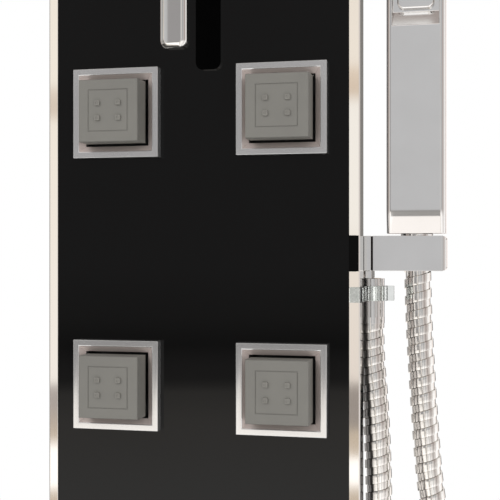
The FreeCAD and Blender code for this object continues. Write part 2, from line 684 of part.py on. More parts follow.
def handle_turret():
    """The square hub: a slot for the lever's lug, and a bevel behind the lever's upper end."""
    made = body("handle_turret")
    half = "turret_side / 2"
    face = rectangle(sketch(made, "XZ_Plane", TURRET_BACK), "-" + half, half, "-" + half, half)
    pad(made, face, "turret_front - (%s)" % TURRET_BACK)
    front = -size("turret_front")
    dress(made, "Chamfer", "turret_bevel", lambda edge: abs(middle(edge).y - front) < 1e-6
          and middle(edge).z > size("turret_side") / 2 - 1e-3 and runs_along((1, 0, 0))(edge))
    dress(made, "Fillet", "turret_round", runs_along((0, 1, 0)))
    slot = rectangle(sketch(made, "XZ_Plane", "turret_front"), "-(lug_wide / 2 + lug_gap)",
                     "lug_wide / 2 + lug_gap", "lever_pivot_rise - lug_radius - turret_bevel", half + " + 1")
    pocket(made, slot, "turret_front - (%s) + lug_radius + 3 * lug_gap" % LEVER_PIN_REACH)
    bore = circle(sketch(made, "YZ_Plane", half + " + 1"), "-(%s)" % LEVER_PIN_REACH, "lever_pivot_rise",
                  "pin_radius")
    pocket(made, bore, "turret_side + 2")
    stem = circle(sketch(made, "XZ_Plane", HOUSING_FRONT + " - 10"), "0", "0", "stem_radius")
    pad(made, stem, "%s - (%s) + 11" % (TURRET_BACK, HOUSING_FRONT))
    bind(made, Base_x="mixer_x", Base_z="mixer_z")


def lever_pin():
    half = "turret_side / 2 - 1"
    pin = rod("X", "pin_radius", "mixer_x - (%s)" % half, "mixer_x + " + half, LEVER_PIN_REACH, LEVER_PIN_Z)
    piece("lever_pin", pin)


def lever_handle():
    """A flat bar with a shallow-arced foot and a lug that turns on the pin."""
    made = body("lever_handle")
    half = "lever_wide / 2"
    bar = rectangle(sketch(made, "XZ_Plane", LEVER_BACK), "-" + half, half, "-lever_drop", "turret_side / 2")
    pad(made, bar, "lever_thick")
    foot = -size("lever_drop")
    dress(made, "Fillet", "lever_corner", lambda edge: runs_along((0, 1, 0))(edge)
          and abs(middle(edge).z - foot) < 1e-6)
    middle_reach = -(size("face_reach") + size("lever_proud") - size("lever_thick") / 2)
    dress(made, "Fillet", "lever_edge", lambda edge: runs_along((0, 0, 1))(edge)
          and middle(edge).y < middle_reach)
    lug_half = "lug_wide / 2"
    lug = sketch(made, "YZ_Plane", "-(%s)" % lug_half)
    reach = "-(%s)" % LEVER_PIN_REACH
    rectangle(lug, "-(%s) - 1" % LEVER_BACK, reach, "lever_pivot_rise - lug_radius",
              "lever_pivot_rise + lug_radius")
    pad(made, lug, "lug_wide")
    round_end = circle(sketch(made, "YZ_Plane", "-(%s)" % lug_half), reach, "lever_pivot_rise", "lug_radius")
    pad(made, round_end, "lug_wide")
    bore = circle(sketch(made, "YZ_Plane", "lug_wide"), reach, "lever_pivot_rise", "pin_radius + pivot_fit")
    pocket(made, bore, "2 * lug_wide")
    bind(made, Base_x="mixer_x", Base_z="mixer_z")


# The diverter sends the water to the jets, the rain head or the hand shower.

def diverter_body():
    barrel = rod("Y", "diverter_radius", "pipe_reach - 16", SHEET_BACK, "mixer_x", DIVERTER_Z)
    neck = rod("Y", "diverter_neck", SHEET_BACK + " - 1", "face_reach + rose_thick", "mixer_x", DIVERTER_Z)
    bore = rod("Y", "knob_stem + pivot_fit", "pipe_reach + 4", "face_reach + rose_thick + 1", "mixer_x",
               DIVERTER_Z)
    piece("diverter_body", cut(fuse(barrel, neck), bore))


def diverter_knob():
    made = body("diverter_knob")
    half = "knob_side / 2"
    face = rectangle(sketch(made, "XZ_Plane", TURRET_BACK), "-" + half, half, "-" + half, half)
    pad(made, face, "knob_front - (%s)" % TURRET_BACK)
    dress(made, "Fillet", "turret_round", runs_along((0, 1, 0)))
    stem = circle(sketch(made, "XZ_Plane", "pipe_reach + 5"), "0", "0", "knob_stem")
    pad(made, stem, "%s - pipe_reach - 4" % TURRET_BACK)
    bind(made, Base_x="mixer_x", Base_z=DIVERTER_Z)


# Tubes: straight runs joined by tangent arcs.

def point(x, reach, z):
    return FreeCAD.Vector(x, -reach, z)


def rounded_route(points, radius=None):
    """Edges through the points: runs and tangent arcs, and the arcs' radii."""
    edges = []
    radii = []
    start = points[0]
    for before, corner, after in zip(points, points[1:], points[2:]):
        into = corner - before
        onward = after - corner
        turn = into.getAngle(onward)
        shorter = min(into.Length, onward.Length)
        bend = radius or HOSE_BEND_SHARE * shorter / math.tan(turn / 2)
        tangent = bend * math.tan(turn / 2)
        into.normalize()
        onward.normalize()
        arc_start = corner - into * tangent
        arc_end = corner + onward * tangent
        inward = onward - into
        inward.normalize()
        centre = corner + inward * (bend / math.cos(turn / 2))
        arc_middle = centre - inward * bend
        edges.append(Part.makeLine(start, arc_start))
        edges.append(Part.Arc(arc_start, arc_middle, arc_end).toShape())
        radii.append(bend)
        start = arc_end
    edges.append(Part.makeLine(start, points[-1]))
    return Part.Wire(edges), radii


def swept(path, radius):
    """A round bar along a path."""
    first = path.Edges[0]
    ring = Part.Circle(first.valueAt(first.FirstParameter), first.tangentAt(first.FirstParameter), radius)
    return path.makePipeShell([Part.Wire(ring.toShape())], True, False)


def tube(label, points, bend):
    """A brass tube behind the panel."""
    path, _ = rounded_route(points, bend)
    made = DOC.addObject("Part::Feature", label)
    made.Shape = swept(path, size("tube_radius"))
    piece(label, made)


def tubes():
    """From the diverter: one tube up to the rain arm, one down to the holder, and the jets' manifold."""
    radius = size("tube_radius")
    bend = 2 * radius
    x = size("mixer_x")
    z = size("mixer_z") + size("diverter_rise")
    reach = size("pipe_reach")
    side = size("diverter_radius")
    jets_z = size("jets_z")
    lane = size("housing_width") / 2 - size("sheet_thick") - bend
    back = size("socket_back") - 12 - radius
    dropped = z - 12 * radius
    tube("rain_tube", [point(x, reach, z + side), point(x, reach, size("arm_z")),
                       point(x, size("face_reach"), size("arm_z"))], bend)
    outlet = size("hose_reach")
    holder_z = size("holder_z")
    tube("hand_shower_tube", [point(x + side, reach, z), point(lane, reach, z), point(lane, back, dropped),
                              point(lane, back, holder_z + 6 * radius), point(lane, outlet, holder_z),
                              point(size("holder_seam") - size("holder_depth") / 2, outlet, holder_z)], bend)
    supply = [point(x - side, reach, z), point(-lane, reach, z), point(-lane, back, dropped),
              point(-lane, back, jets_z), point(0, back, jets_z)]
    column = size("jet_spread") / 2
    rise = size("jet_rise") / 2
    trunk = Part.makeCylinder(radius, 2 * rise + 2 * radius, point(0, back, jets_z - rise - radius))
    # Each run is a little thinner than the one it leaves, so that no two of them touch along a line.
    parts = [swept(rounded_route(supply, bend)[0], radius - 0.25)]
    sideways = FreeCAD.Vector(1, 0, 0)
    outwards = FreeCAD.Vector(0, -1, 0)
    for level in (-1, 1):
        height = jets_z + level * rise
        start = point(-column - radius, back, height)
        parts.append(Part.makeCylinder(radius - 0.5, 2 * column + 2 * radius, start, sideways))
        for turn in (-1, 1):
            start = point(turn * column, back, height)
            parts.append(Part.makeCylinder(radius - 1, radius, start, outwards))
    made = DOC.addObject("Part::Feature", "jet_manifold")
    made.Shape = trunk.multiFuse(parts)
    piece("jet_manifold", made)


# The overhead rain head on its arm. Its ball works as those of the jets do, standing on end.

RAIN_BALL_Z = "arm_z - arm_tall / 2 - rain_drop"
RAIN_PLATE_TOP = RAIN_BALL_Z + " - rain_clear"


def rain_arm():
    made = body("rain_arm")
    half = "arm_wide / 2"
    bar = sketch(made, "XZ_Plane", "face_reach")
    rectangle(bar, "-" + half, half, "arm_z - arm_tall / 2", "arm_z + arm_tall / 2")
    pad(made, bar, "arm_reach - face_reach")
    dress(made, "Fillet", "arm_round", runs_along((0, 1, 0)))
    flange_half = "arm_flange / 2"
    flange = sketch(made, "XZ_Plane", "face_reach")
    rectangle(flange, "-" + flange_half, flange_half, "arm_z - " + flange_half, "arm_z + " + flange_half)
    pad(made, flange, "rose_thick")
    stem = circle(sketch(made, "XY_Plane", RAIN_BALL_Z + " + rain_mouth"), "0", "-rain_reach", "rain_cup")
    pad(made, stem, "rain_drop - rain_mouth + 1")
    seat = made.newObject("PartDesign::SubtractiveSphere", "RainSeat")
    bind(seat, Radius="rain_ball + ball_gap", Base_y="-rain_reach", Base_z=RAIN_BALL_Z)
    DOC.recompute()
    bind(made, Base_x="mixer_x")


def rain_ball():
    pins = rod("X", "pivot_radius", "mixer_x - rain_pin_reach", "mixer_x + rain_pin_reach", "rain_reach",
               RAIN_BALL_Z)
    way = rod("Z", "water_bore", RAIN_BALL_Z + " - rain_ball - 1", RAIN_BALL_Z + " + rain_ball + 1",
              "mixer_x", "rain_reach")
    piece("rain_ball", cut(fuse(ball("rain_ball", "mixer_x", "rain_reach", RAIN_BALL_Z), pins), way))


def rain_head():
    """A thin square plate with two ears on the ball's pins."""
    made = body("rain_head")
    half = "rain_side / 2"
    plate = sketch(made, "XY_Plane", RAIN_PLATE_TOP + " - rain_thick")
    rectangle(plate, "-" + half, half, "-rain_reach - " + half, "-rain_reach + " + half)
    pad(made, plate, "rain_thick")
    dress(made, "Fillet", "rain_corner", runs_along((0, 0, 1)))
    for turn in (-1, 1):
        near = "%d * rain_ear" % turn
        far = "%d * rain_pin_reach" % turn
        low, high = (near, far) if turn > 0 else (far, near)
        ear = sketch(made, "XY_Plane", RAIN_PLATE_TOP + " - 1")
        rectangle(ear, low, high, "-rain_reach - ear_radius", "-rain_reach + ear_radius")
        pad(made, ear, "rain_clear + 1 + ear_radius")
    bore = circle(sketch(made, "YZ_Plane", "rain_pin_reach + seat_gap"), "-rain_reach", RAIN_BALL_Z,
                  "pivot_radius + pivot_fit")
    pocket(made, bore, "2 * (rain_pin_reach + seat_gap)")
    bind(made, Base_x="mixer_x")


def rain_nozzles():
    """Rubber studs in rows under the plate, as many as its side holds at their pitch."""
    rows = int(size("rain_side") // size("rain_pitch"))
    made = body("rain_nozzles")
    corner = "%d * rain_pitch / 2" % (rows - 1)
    base = RAIN_PLATE_TOP + " - rain_thick"
    sheet = sketch(made, "XY_Plane", base + " - seat_gap * 5")
    rectangle(sheet, "-(%s) - rain_margin" % corner, corner + " + rain_margin",
              "-rain_reach - %s - rain_margin" % corner, "-rain_reach + %s + rain_margin" % corner)
    pad(made, sheet, "seat_gap * 5")
    stud = circle(sketch(made, "XY_Plane", base + " - rain_nozzle_proud"), "-(%s)" % corner,
                  "-rain_reach - %s" % corner, "rain_nozzle")
    first = pad(made, stud, "rain_nozzle_proud")
    grid = made.newObject("PartDesign::LinearPattern", "NozzleGrid")
    grid.Originals = [first]
    grid.Direction = (stud, ["H_Axis"])
    grid.Direction2 = (stud, ["V_Axis"])
    grid.Occurrences = rows
    grid.Occurrences2 = rows
    grid.setExpression("Length", formula("%d * rain_pitch" % (rows - 1)))
    grid.setExpression("Length2", formula("%d * rain_pitch" % (rows - 1)))
    made.Tip = grid
    DOC.recompute()
    bind(made, Base_x="mixer_x")


# The holder: a fixed bar that carries the water out, a swivelling block, and a black block in the profile.

HOLDER_LOW = "holder_z - holder_tall / 2"
HOLDER_HIGH = "holder_z + holder_tall / 2"
HOLDER_BACK = "holder_front - holder_depth"
HOLDER_AXIS = "holder_front - holder_depth / 2"
BLOCK_START = "holder_seam + holder_seam_gap"
NIPPLE_TOP = HOLDER_LOW + " - boss_tall"


def holder_mount_block():
    start = GLASS_HALF
    made = block(start, start + " + inset_block", "holder_front", "face_reach + rim_proud / 2", HOLDER_LOW,
                 HOLDER_HIGH)
    piece("holder_mount_block", made)


def holder_base():
    wall = "housing_width / 2"
    bar = block(wall, "holder_seam", HOLDER_BACK, "holder_front", HOLDER_LOW, HOLDER_HIGH)
    boss = block("outlet_x - nut_radius", "holder_seam", "hose_reach - nut_radius", "hose_reach + nut_radius",
                 NIPPLE_TOP, HOLDER_LOW)
    socket = rod("X", "tube_radius + seat_gap", wall + " - 1", "holder_seam - holder_depth / 2", "hose_reach",
                 "holder_z")
    pin = rod("X", "holder_pin", "holder_seam - holder_pin_long", "holder_seam + 1", HOLDER_AXIS, "holder_z")
    piece("holder_base", cut(fuse(bar, boss), socket, pin))


def holder_pin():
    made = rod("X", "holder_pin", "holder_seam - holder_pin_long", BLOCK_START + " + holder_pin_long",
               HOLDER_AXIS, "holder_z")
    piece("holder_pin", made)


def holder_block():
    """Turns on the pin; its upright way has a straight part for the hose and a cone for the nut."""
    made = body("holder_block")
    face = rectangle(sketch(made, "XZ_Plane", HOLDER_BACK), BLOCK_START, "holder_end", HOLDER_LOW,
                     HOLDER_HIGH)
    pad(made, face, "holder_depth")
    end = size("holder_end")
    dress(made, "Fillet", "holder_round", lambda edge: abs(middle(edge).x - end) < 1e-6)
    way = circle(sketch(made, "XY_Plane", HOLDER_HIGH), "cradle_x", "-hose_reach", "hose_radius + hose_fit")
    pocket(made, way, "holder_tall")
    seat = circle(sketch(made, "XY_Plane", HOLDER_HIGH), "cradle_x", "-hose_reach", "cone_radius + cone_fit")
    pocket(made, seat, "cradle_deep")
    pin = circle(sketch(made, "YZ_Plane", BLOCK_START + " + holder_pin_long + cone_fit"),
                 "-(%s)" % HOLDER_AXIS, "holder_z", "holder_pin + pivot_fit")
    pocket(made, pin, "holder_pin_long + cone_fit + 1")


# The hand shower.

HAND_FOOT = HOLDER_HIGH + " + hand_foot"
HAND_FRONT = "holder_front"
SCOOP_LOW = HAND_FOOT + " + scoop_rise"
HAND_TOP = HAND_FOOT + " + hand_tall"


def cone_nut():
    """The nut at the hose's end: it seats in the block and meets the hand shower's foot."""
    outer = cone("cone_radius - 2 * cone_fit", "cone_radius", HOLDER_HIGH + " - cradle_deep + cone_fit",
                 HAND_FOOT, "cradle_x", "hose_reach")
    bore = rod("Z", "hose_radius + hose_fit / 2", HOLDER_LOW, HAND_FOOT + " + 1", "cradle_x", "hose_reach")
    piece("cone_nut", cut(outer, bore))


def hand_shower():
    """A flat stick with rounded long edges; its upper front is scooped, with the spray plate in the scoop."""
    made = body("hand_shower")
    left = "cradle_x - hand_wide / 2"
    right = "cradle_x + hand_wide / 2"
    face = rectangle(sketch(made, "XZ_Plane", "holder_front - hand_depth"), left, right, HAND_FOOT, HAND_TOP)
    pad(made, face, "hand_depth")
    dress(made, "Fillet", "hand_edge", runs_along((0, 0, 1)))
    scoop = sketch(made, "YZ_Plane", left + " + scoop_side")
    outline(scoop, [("-holder_front - 1", SCOOP_LOW), ("-holder_front", SCOOP_LOW),
                    ("-holder_front + scoop_deep", SCOOP_LOW + " + scoop_slope"),
                    ("-holder_front + scoop_deep", HAND_TOP + " - scoop_side"),
                    ("-holder_front - 1", HAND_TOP + " - scoop_side")])
    before = made.Shape.Volume
    carve = feature(made, "Pocket", scoop, "hand_wide - 2 * scoop_side")
    carve.Reversed = True
    DOC.recompute()
    if not carve.Shape.Volume < before:
        raise RuntimeError("hand_shower: the scoop cuts nothing")
    bore = circle(sketch(made, "XY_Plane", HAND_FOOT + " + hand_bore"), "cradle_x", "-hose_reach",
                  "hose_radius + hose_fit / 2")
    pocket(made, bore, "hand_bore + 1")


def spray_plate():
    made = body("spray_plate")
    left = "cradle_x - hand_wide / 2 + scoop_side + spray_gap"
    right = "cradle_x + hand_wide / 2 - scoop_side - spray_gap"
    plate = rectangle(sketch(made, "XZ_Plane", "holder_front - scoop_deep"), left, right,
                      SCOOP_LOW + " + scoop_slope + spray_gap / 2", HAND_TOP + " - scoop_side - spray_gap")
    pad(made, plate, "spray_thick")
    dress(made, "Fillet", "spray_corner", runs_along((0, 1, 0)))
    front = -(size("holder_front") - size("scoop_deep") + size("spray_thick"))
    dress(made, "Chamfer", "head_round", lambda edge: abs(middle(edge).y - front) < 1e-6)


def spray_nozzles():
    studs = []
    low = "%s + scoop_slope + spray_gap / 2 + 2 * spray_corner" % SCOOP_LOW
    for row in range(int(size("spray_rows"))):
        for column in (-1, 0, 1):
            height = "%s + %d * spray_pitch" % (low, row)
            studs.append(rod("Y", "rain_nozzle", "holder_front - scoop_deep + spray_thick",
                             "holder_front - scoop_deep + spray_thick + spray_proud",
                             "cradle_x + %d * spray_pitch" % column, height))
    piece("spray_nozzles", gather(*studs))


# The outlet, its nut and the clear clip.

NUT_TOP = NIPPLE_TOP + " - seat_gap"
NUT_LOW = NUT_TOP + " - nut_long"


def outlet_nipple():
    outer = rod("Z", "nipple_radius", NIPPLE_TOP + " - nipple_long", NIPPLE_TOP, "outlet_x", "hose_reach")
    bore = rod("Z", "nipple_bore", NIPPLE_TOP + " - nipple_long - 1", NIPPLE_TOP + " - 1", "outlet_x",
               "hose_reach")
    piece("outlet_nipple", cut(outer, bore))


def hose_nut():
    """A slim sleeve nut with flutes all round."""
    made = body("hose_nut")
    outer = circle(sketch(made, "XY_Plane", NUT_LOW), "0", "0", "nut_radius")
    circle(outer, "0", "0", "nipple_radius + seat_gap")
    pad(made, outer, "nut_long")
    flute = circle(sketch(made, "XY_Plane", NUT_TOP), "nut_radius", "0", "nut_flute")
    first = pocket(made, flute, "nut_long - nut_collar")
    around = made.newObject("PartDesign::PolarPattern", "Flutes")
    around.Originals = [first]
    around.Axis = (flute, ["N_Axis"])
    around.setExpression("Occurrences", formula("nut_flutes"))
    around.Angle = 360
    made.Tip = around
    DOC.recompute()
    bind(made, Base_x="outlet_x", Base_y="-hose_reach")


def hose_clip():
    """A clear clip: a tongue over the edge profile, an arm past its side, and a ring round the nut."""
    top = NUT_TOP + " - clip_drop + clip_tall / 2"
    low = top + " - clip_tall"
    side = "panel_width / 2 + seat_gap"
    front = "face_reach + rim_proud + seat_gap"
    tongue = block("panel_width / 2 - clip_tongue", side + " + clip_wall", front, front + " + clip_wall",
                   low, top)
    arm = block(side, side + " + clip_wall", "hose_reach + nut_radius", front + " + clip_wall", low, top)
    grip = rod("Z", "nut_radius + seat_gap + clip_wall", low, top, "outlet_x", "hose_reach")
    ear = block("outlet_x + nut_radius", "outlet_x + nut_radius + clip_ear", "hose_reach - clip_wall",
                "hose_reach + clip_wall", low, top)
    hollow = rod("Z", "nut_radius + seat_gap", low + " - 1", top + " + 1", "outlet_x", "hose_reach")
    piece("hose_clip", cut(fuse(tongue, arm, grip, ear), hollow))


# The hose: it hangs free from the nut in a long loop, and rises through the holder into the hand shower.

def hose_route():
    jets_z = size("jets_z")
    outlet = size("outlet_x")
    reach = size("hose_reach")
    cradle = size("cradle_x")
    foot = size("holder_z") + size("holder_tall") / 2 + size("hand_foot")
    holder_low = size("holder_z") - size("holder_tall") / 2
    nut_low = holder_low - size("boss_tall") - size("seat_gap") - size("nut_long")
    points = [point(outlet, reach, nut_low), point(outlet, reach, nut_low - HOSE_STRAIGHT)]
    points += [point(x, reach, jets_z + z) for x, z in HOSE_DOWN + HOSE_UP]
    points += [point(cradle, reach, holder_low - HOSE_STRAIGHT / 2),
               point(cradle, reach, foot + size("hand_bore") - 1)]
    return points


def hose_stations():
    """The path, its length, and the distances and radii of the hose's circles: four for each rib."""
    path, radii = rounded_route(hose_route())
    print("hose arcs' radii:", [round(radius, 1) for radius in radii])
    length = path.Length
    ribs = int(size("hose_ribs"))
    outer = size("hose_radius")
    inner = outer - size("hose_groove")
    lead = 2 * outer
    pitch = (length - 2 * lead) / ribs
    stations = [(0, inner), (lead - pitch * 0.1, inner)]
    for rib in range(ribs):
        start = lead + rib * pitch
        stations += [(start, inner), (start + 0.12 * pitch, outer), (start + 0.62 * pitch, outer),
                     (start + 0.74 * pitch, inner)]
    stations += [(length, inner)]
    return path, length, stations


def along(path, distance):
    """The place and direction at a distance along a path."""
    for edge in path.Edges:
        if distance <= edge.Length + 1e-6:
            parameter = edge.getParameterByLength(min(distance, edge.Length))
            return edge.valueAt(parameter), edge.tangentAt(parameter)
        distance -= edge.Length
    last = path.Edges[-1]
    return last.valueAt(last.LastParameter), last.tangentAt(last.LastParameter)


def station_ring(path, distance, radius):
    """A circle square to the path. Its own X axis stays on the wall's normal."""
    place, onward = along(path, distance)
    across = FreeCAD.Vector(0, -1, 0)
    turn = FreeCAD.Rotation(across, onward.cross(across), onward, "ZXY")
    ring = Part.makeCircle(radius)
    ring.Placement = FreeCAD.Placement(place, turn)
    return Part.Wire([ring])


def hose():
    """A ruled loft through the circles, with a smooth stretch at each end and a bore."""
    path, length, stations = hose_stations()
    skin = Part.makeLoft([station_ring(path, distance, radius) for distance, radius in stations], True, True)
    solid = skin.cut(swept(path, size("hose_bore")))
    made = DOC.addObject("Part::Feature", "hose")
    made.Shape = solid
    expected = 0
    for (start, low), (end, high) in zip(stations, stations[1:]):
        expected += math.pi * (end - start) * (low * low + low * high + high * high) / 3
    expected -= math.pi * size("hose_bore") ** 2 * length
    print("hose length %.1f mm, volume %.0f, section x length %.0f" % (length, solid.Volume, expected))
    piece("hose", made)


def build():
    front_glass()
    edge_profile("edge_profile_left", -1)
    edge_profile("edge_profile_right", 1)
    end_cap("top_cap", "panel_high - cap_thick")
    end_cap("bottom_cap", "panel_low")
    rear_housing()
    wall_bracket("wall_bracket_upper", 1)
    wall_bracket("wall_bracket_lower", -1)
    bracket_screws()
    for number, side, level in JETS:
        jet_frame(number, side, level)
        jet_socket(number, side, level)
        jet_ball(number, side, level)
        jet_head(number, side, level)
        jet_nozzles(number, side, level)
    mixer_body()
    mixer_cartridge()
    cover_plate("mixer_cover", "rose_radius", "valve_neck + seat_gap", "mixer_z")
    handle_turret()
    lever_pin()
    lever_handle()
    diverter_body()
    cover_plate("diverter_cover", "diverter_rose", "diverter_neck + seat_gap", DIVERTER_Z)
    diverter_knob()
    tubes()
    rain_arm()
    rain_ball()
    rain_head()
    rain_nozzles()
    holder_mount_block()
    holder_base()
    holder_pin()
    holder_block()
    cone_nut()
    hand_shower()
    spray_plate()
    spray_nozzles()
    outlet_nipple()
    hose_nut()
    hose_clip()
    hose()


def write():
    """Check every object, then write each sub-part to its own file."""
    DOC.recompute()
    for item in DOC.Objects:
        if "Invalid" in item.State or "Error" in item.State:
            raise RuntimeError("%s (%s) failed: %s" % (item.Name, item.Label, item.State))
    for made in PIECES:
        if made.Shape.isNull() or not made.Shape.isValid():
            raise RuntimeError(made.Label + " has no valid shape")
    os.makedirs("parts", exist_ok=True)
    for made in PIECES:
        made.Shape.exportStep(os.path.join("parts", made.Label + ".step"))
    print("%d sub-parts written" % len(PIECES))


build()
write()
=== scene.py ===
import json
import math

import bmesh
import bpy
from mathutils import Matrix, Vector


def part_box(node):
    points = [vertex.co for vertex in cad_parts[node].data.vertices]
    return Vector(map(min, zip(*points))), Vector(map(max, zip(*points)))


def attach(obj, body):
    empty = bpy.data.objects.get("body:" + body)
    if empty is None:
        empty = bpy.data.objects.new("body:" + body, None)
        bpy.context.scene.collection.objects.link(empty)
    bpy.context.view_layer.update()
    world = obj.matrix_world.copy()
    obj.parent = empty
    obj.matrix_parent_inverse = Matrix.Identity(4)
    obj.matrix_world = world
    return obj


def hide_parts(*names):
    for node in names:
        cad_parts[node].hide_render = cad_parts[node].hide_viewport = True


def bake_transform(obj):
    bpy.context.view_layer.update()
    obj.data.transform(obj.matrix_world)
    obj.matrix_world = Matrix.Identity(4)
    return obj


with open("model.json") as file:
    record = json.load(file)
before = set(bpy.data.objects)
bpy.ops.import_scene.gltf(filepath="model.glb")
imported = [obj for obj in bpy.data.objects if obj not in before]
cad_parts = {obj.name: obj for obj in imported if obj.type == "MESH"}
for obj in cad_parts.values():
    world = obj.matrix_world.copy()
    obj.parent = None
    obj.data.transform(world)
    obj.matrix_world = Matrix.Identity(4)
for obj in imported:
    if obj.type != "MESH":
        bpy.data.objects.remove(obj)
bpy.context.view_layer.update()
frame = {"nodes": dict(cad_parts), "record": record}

MM = 0.001

# ---------------------------------------------------------------------------------------------
# The camera stands to the right of the panel, level with the middle of the four jets.

CAMERA_PLACE = Vector((183.3, -706.4, -200.65)) * MM
CAMERA_TURN = math.radians(13.14)
CAMERA_LENS = 77.72
CAMERA_SENSOR = 36

camera = bpy.data.objects.new("camera", bpy.data.cameras.new("camera"))
camera.data.lens = CAMERA_LENS
camera.data.sensor_width = CAMERA_SENSOR
camera.location = CAMERA_PLACE
camera.rotation_euler = (math.radians(90), 0, CAMERA_TURN)
bpy.context.scene.collection.objects.link(camera)
bpy.context.scene.camera = camera
bpy.context.scene.view_settings.view_transform = "Standard"


# ---------------------------------------------------------------------------------------------
# Materials. The size of each pattern is a real one.

def linear(text, alpha=1.0):
    """An sRGB hex colour as the linear values that a socket takes."""
    channels = [int(text[k:k + 2], 16) / 255 for k in (0, 2, 4)]
    return tuple(c / 12.92 if c <= 0.04045 else ((c + 0.055) / 1.055) ** 2.4 for c in channels) + (alpha,)


def add(tree, kind, settings=None, **inputs):
    """One node with its settings, and its inputs as values or as the sockets that feed them."""
    made = tree.nodes.new(kind)
    for name, value in (settings or {}).items():
        setattr(made, name, value)
    for name, value in inputs.items():
        key = int(name[1:]) if name[0] == "_" and name[1:].isdigit() else name.replace("_", " ")
        if isinstance(value, bpy.types.NodeSocket):
            tree.links.new(value, made.inputs[key])
        else:
            made.inputs[key].default_value = value
    return made


def new_material(name):
    """An empty material, its node tree, and the place on the piece that its patterns follow."""
    material = bpy.data.materials.new(name)
    material.use_nodes = True
    tree = material.node_tree
    tree.nodes.clear()
    return material, tree, add(tree, "ShaderNodeTexCoord").outputs["Object"]


def chrome_plate(name, colour, smooth=0.05, rough=0.09, ripple=0.004, metal=1.0):
    """Decorative chrome over a polished casting. A mirror, hazed in soft patches where it is wiped, and
    rippled a little by the polishing underneath."""
    wipe_size, ripple_size, ripple_height = 18 * MM, 35 * MM, 1 * MM
    material, tree, here = new_material(name)
    wiped = add(tree, "ShaderNodeTexNoise", Vector=here, Scale=1 / wipe_size, Detail=3.0).outputs["Fac"]
    swell = add(tree, "ShaderNodeTexNoise", Vector=here, Scale=1 / ripple_size, Detail=0.0).outputs["Fac"]
    bump = add(tree, "ShaderNodeBump", Strength=ripple, Distance=ripple_height, Height=swell)
    film = add(tree, "ShaderNodeMapRange", Value=wiped, To_Min=0.0, To_Max=0.12)
    haze = add(tree, "ShaderNodeMapRange", Value=wiped, To_Min=smooth, To_Max=rough)
    tone = add(tree, "ShaderNodeMixRGB", Fac=film.outputs[0], Color1=linear(colour), Color2=linear("8f8d8a"))
    shader = add(tree, "ShaderNodeBsdfPrincipled", Base_Color=tone.outputs[0], Metallic=metal,
                 Roughness=haze.outputs[0], Normal=bump.outputs[0])
    add(tree, "ShaderNodeOutputMaterial", Surface=shader.outputs[0])
    return material


def drawn_aluminium(name, colour):
    """An aluminium extrusion, brightened in acid. A warm mirror with faint lines along the draw, which are
    drawn 0.8 mm apart, wider than the real ones, so that they show."""
    line_gap, broad_size, line_height = 0.8 * MM, 40 * MM, 0.2 * MM
    material, tree, here = new_material(name)
    drawn = add(tree, "ShaderNodeMapping", Vector=here, Scale=(1, 1, 0.004)).outputs[0]
    slow = add(tree, "ShaderNodeMapping", Vector=here, Scale=(1, 1, 0.5)).outputs[0]
    lines = add(tree, "ShaderNodeTexNoise", Vector=drawn, Scale=1 / line_gap, Detail=2.0).outputs["Fac"]
    broad = add(tree, "ShaderNodeTexNoise", Vector=slow, Scale=1 / broad_size, Detail=1.0).outputs["Fac"]
    bump = add(tree, "ShaderNodeBump", Strength=0.03, Distance=line_height, Height=lines)
    film = add(tree, "ShaderNodeMapRange", Value=broad, To_Min=0.0, To_Max=0.12)
    haze = add(tree, "ShaderNodeMapRange", Value=lines, To_Min=0.03, To_Max=0.06)
    tone = add(tree, "ShaderNodeMixRGB", Fac=film.outputs[0], Color1=linear(colour), Color2=linear("cfc9c2"))
    shader = add(tree, "ShaderNodeBsdfPrincipled", Base_Color=tone.outputs[0], Metallic=1.0,
                 Roughness=haze.outputs[0], Normal=bump.outputs[0])
    add(tree, "ShaderNodeOutputMaterial", Surface=shader.outputs[0])
    return material


def painted_glass(name):
    """Toughened glass with black enamel fired on its back. Deep black under a clear polished face, whose
    mirror bends a little in long waves from the toughening furnace and dulls in faint smears."""
    smear_size, wave_size, wave_height = 60 * MM, 90 * MM, 1 * MM
    material, tree, here = new_material(name)
    smear = add(tree, "ShaderNodeTexNoise", Vector=here, Scale=1 / smear_size, Detail=4.0).outputs["Fac"]
    wave = add(tree, "ShaderNodeTexNoise", Vector=here, Scale=1 / wave_size, Detail=0.0).outputs["Fac"]
    bump = add(tree, "ShaderNodeBump", Strength=0.004, Distance=wave_height, Height=wave)
    haze = add(tree, "ShaderNodeMapRange", Value=smear, To_Min=0.008, To_Max=0.03)
    tone = add(tree, "ShaderNodeMixRGB", Fac=smear, Color1=linear("030303"), Color2=linear("060606"))
    shader = add(tree, "ShaderNodeBsdfPrincipled", Base_Color=tone.outputs[0], IOR=1.35,
                 Roughness=haze.outputs[0], Normal=bump.outputs[0])
    add(tree, "ShaderNodeOutputMaterial", Surface=shader.outputs[0])
    return material


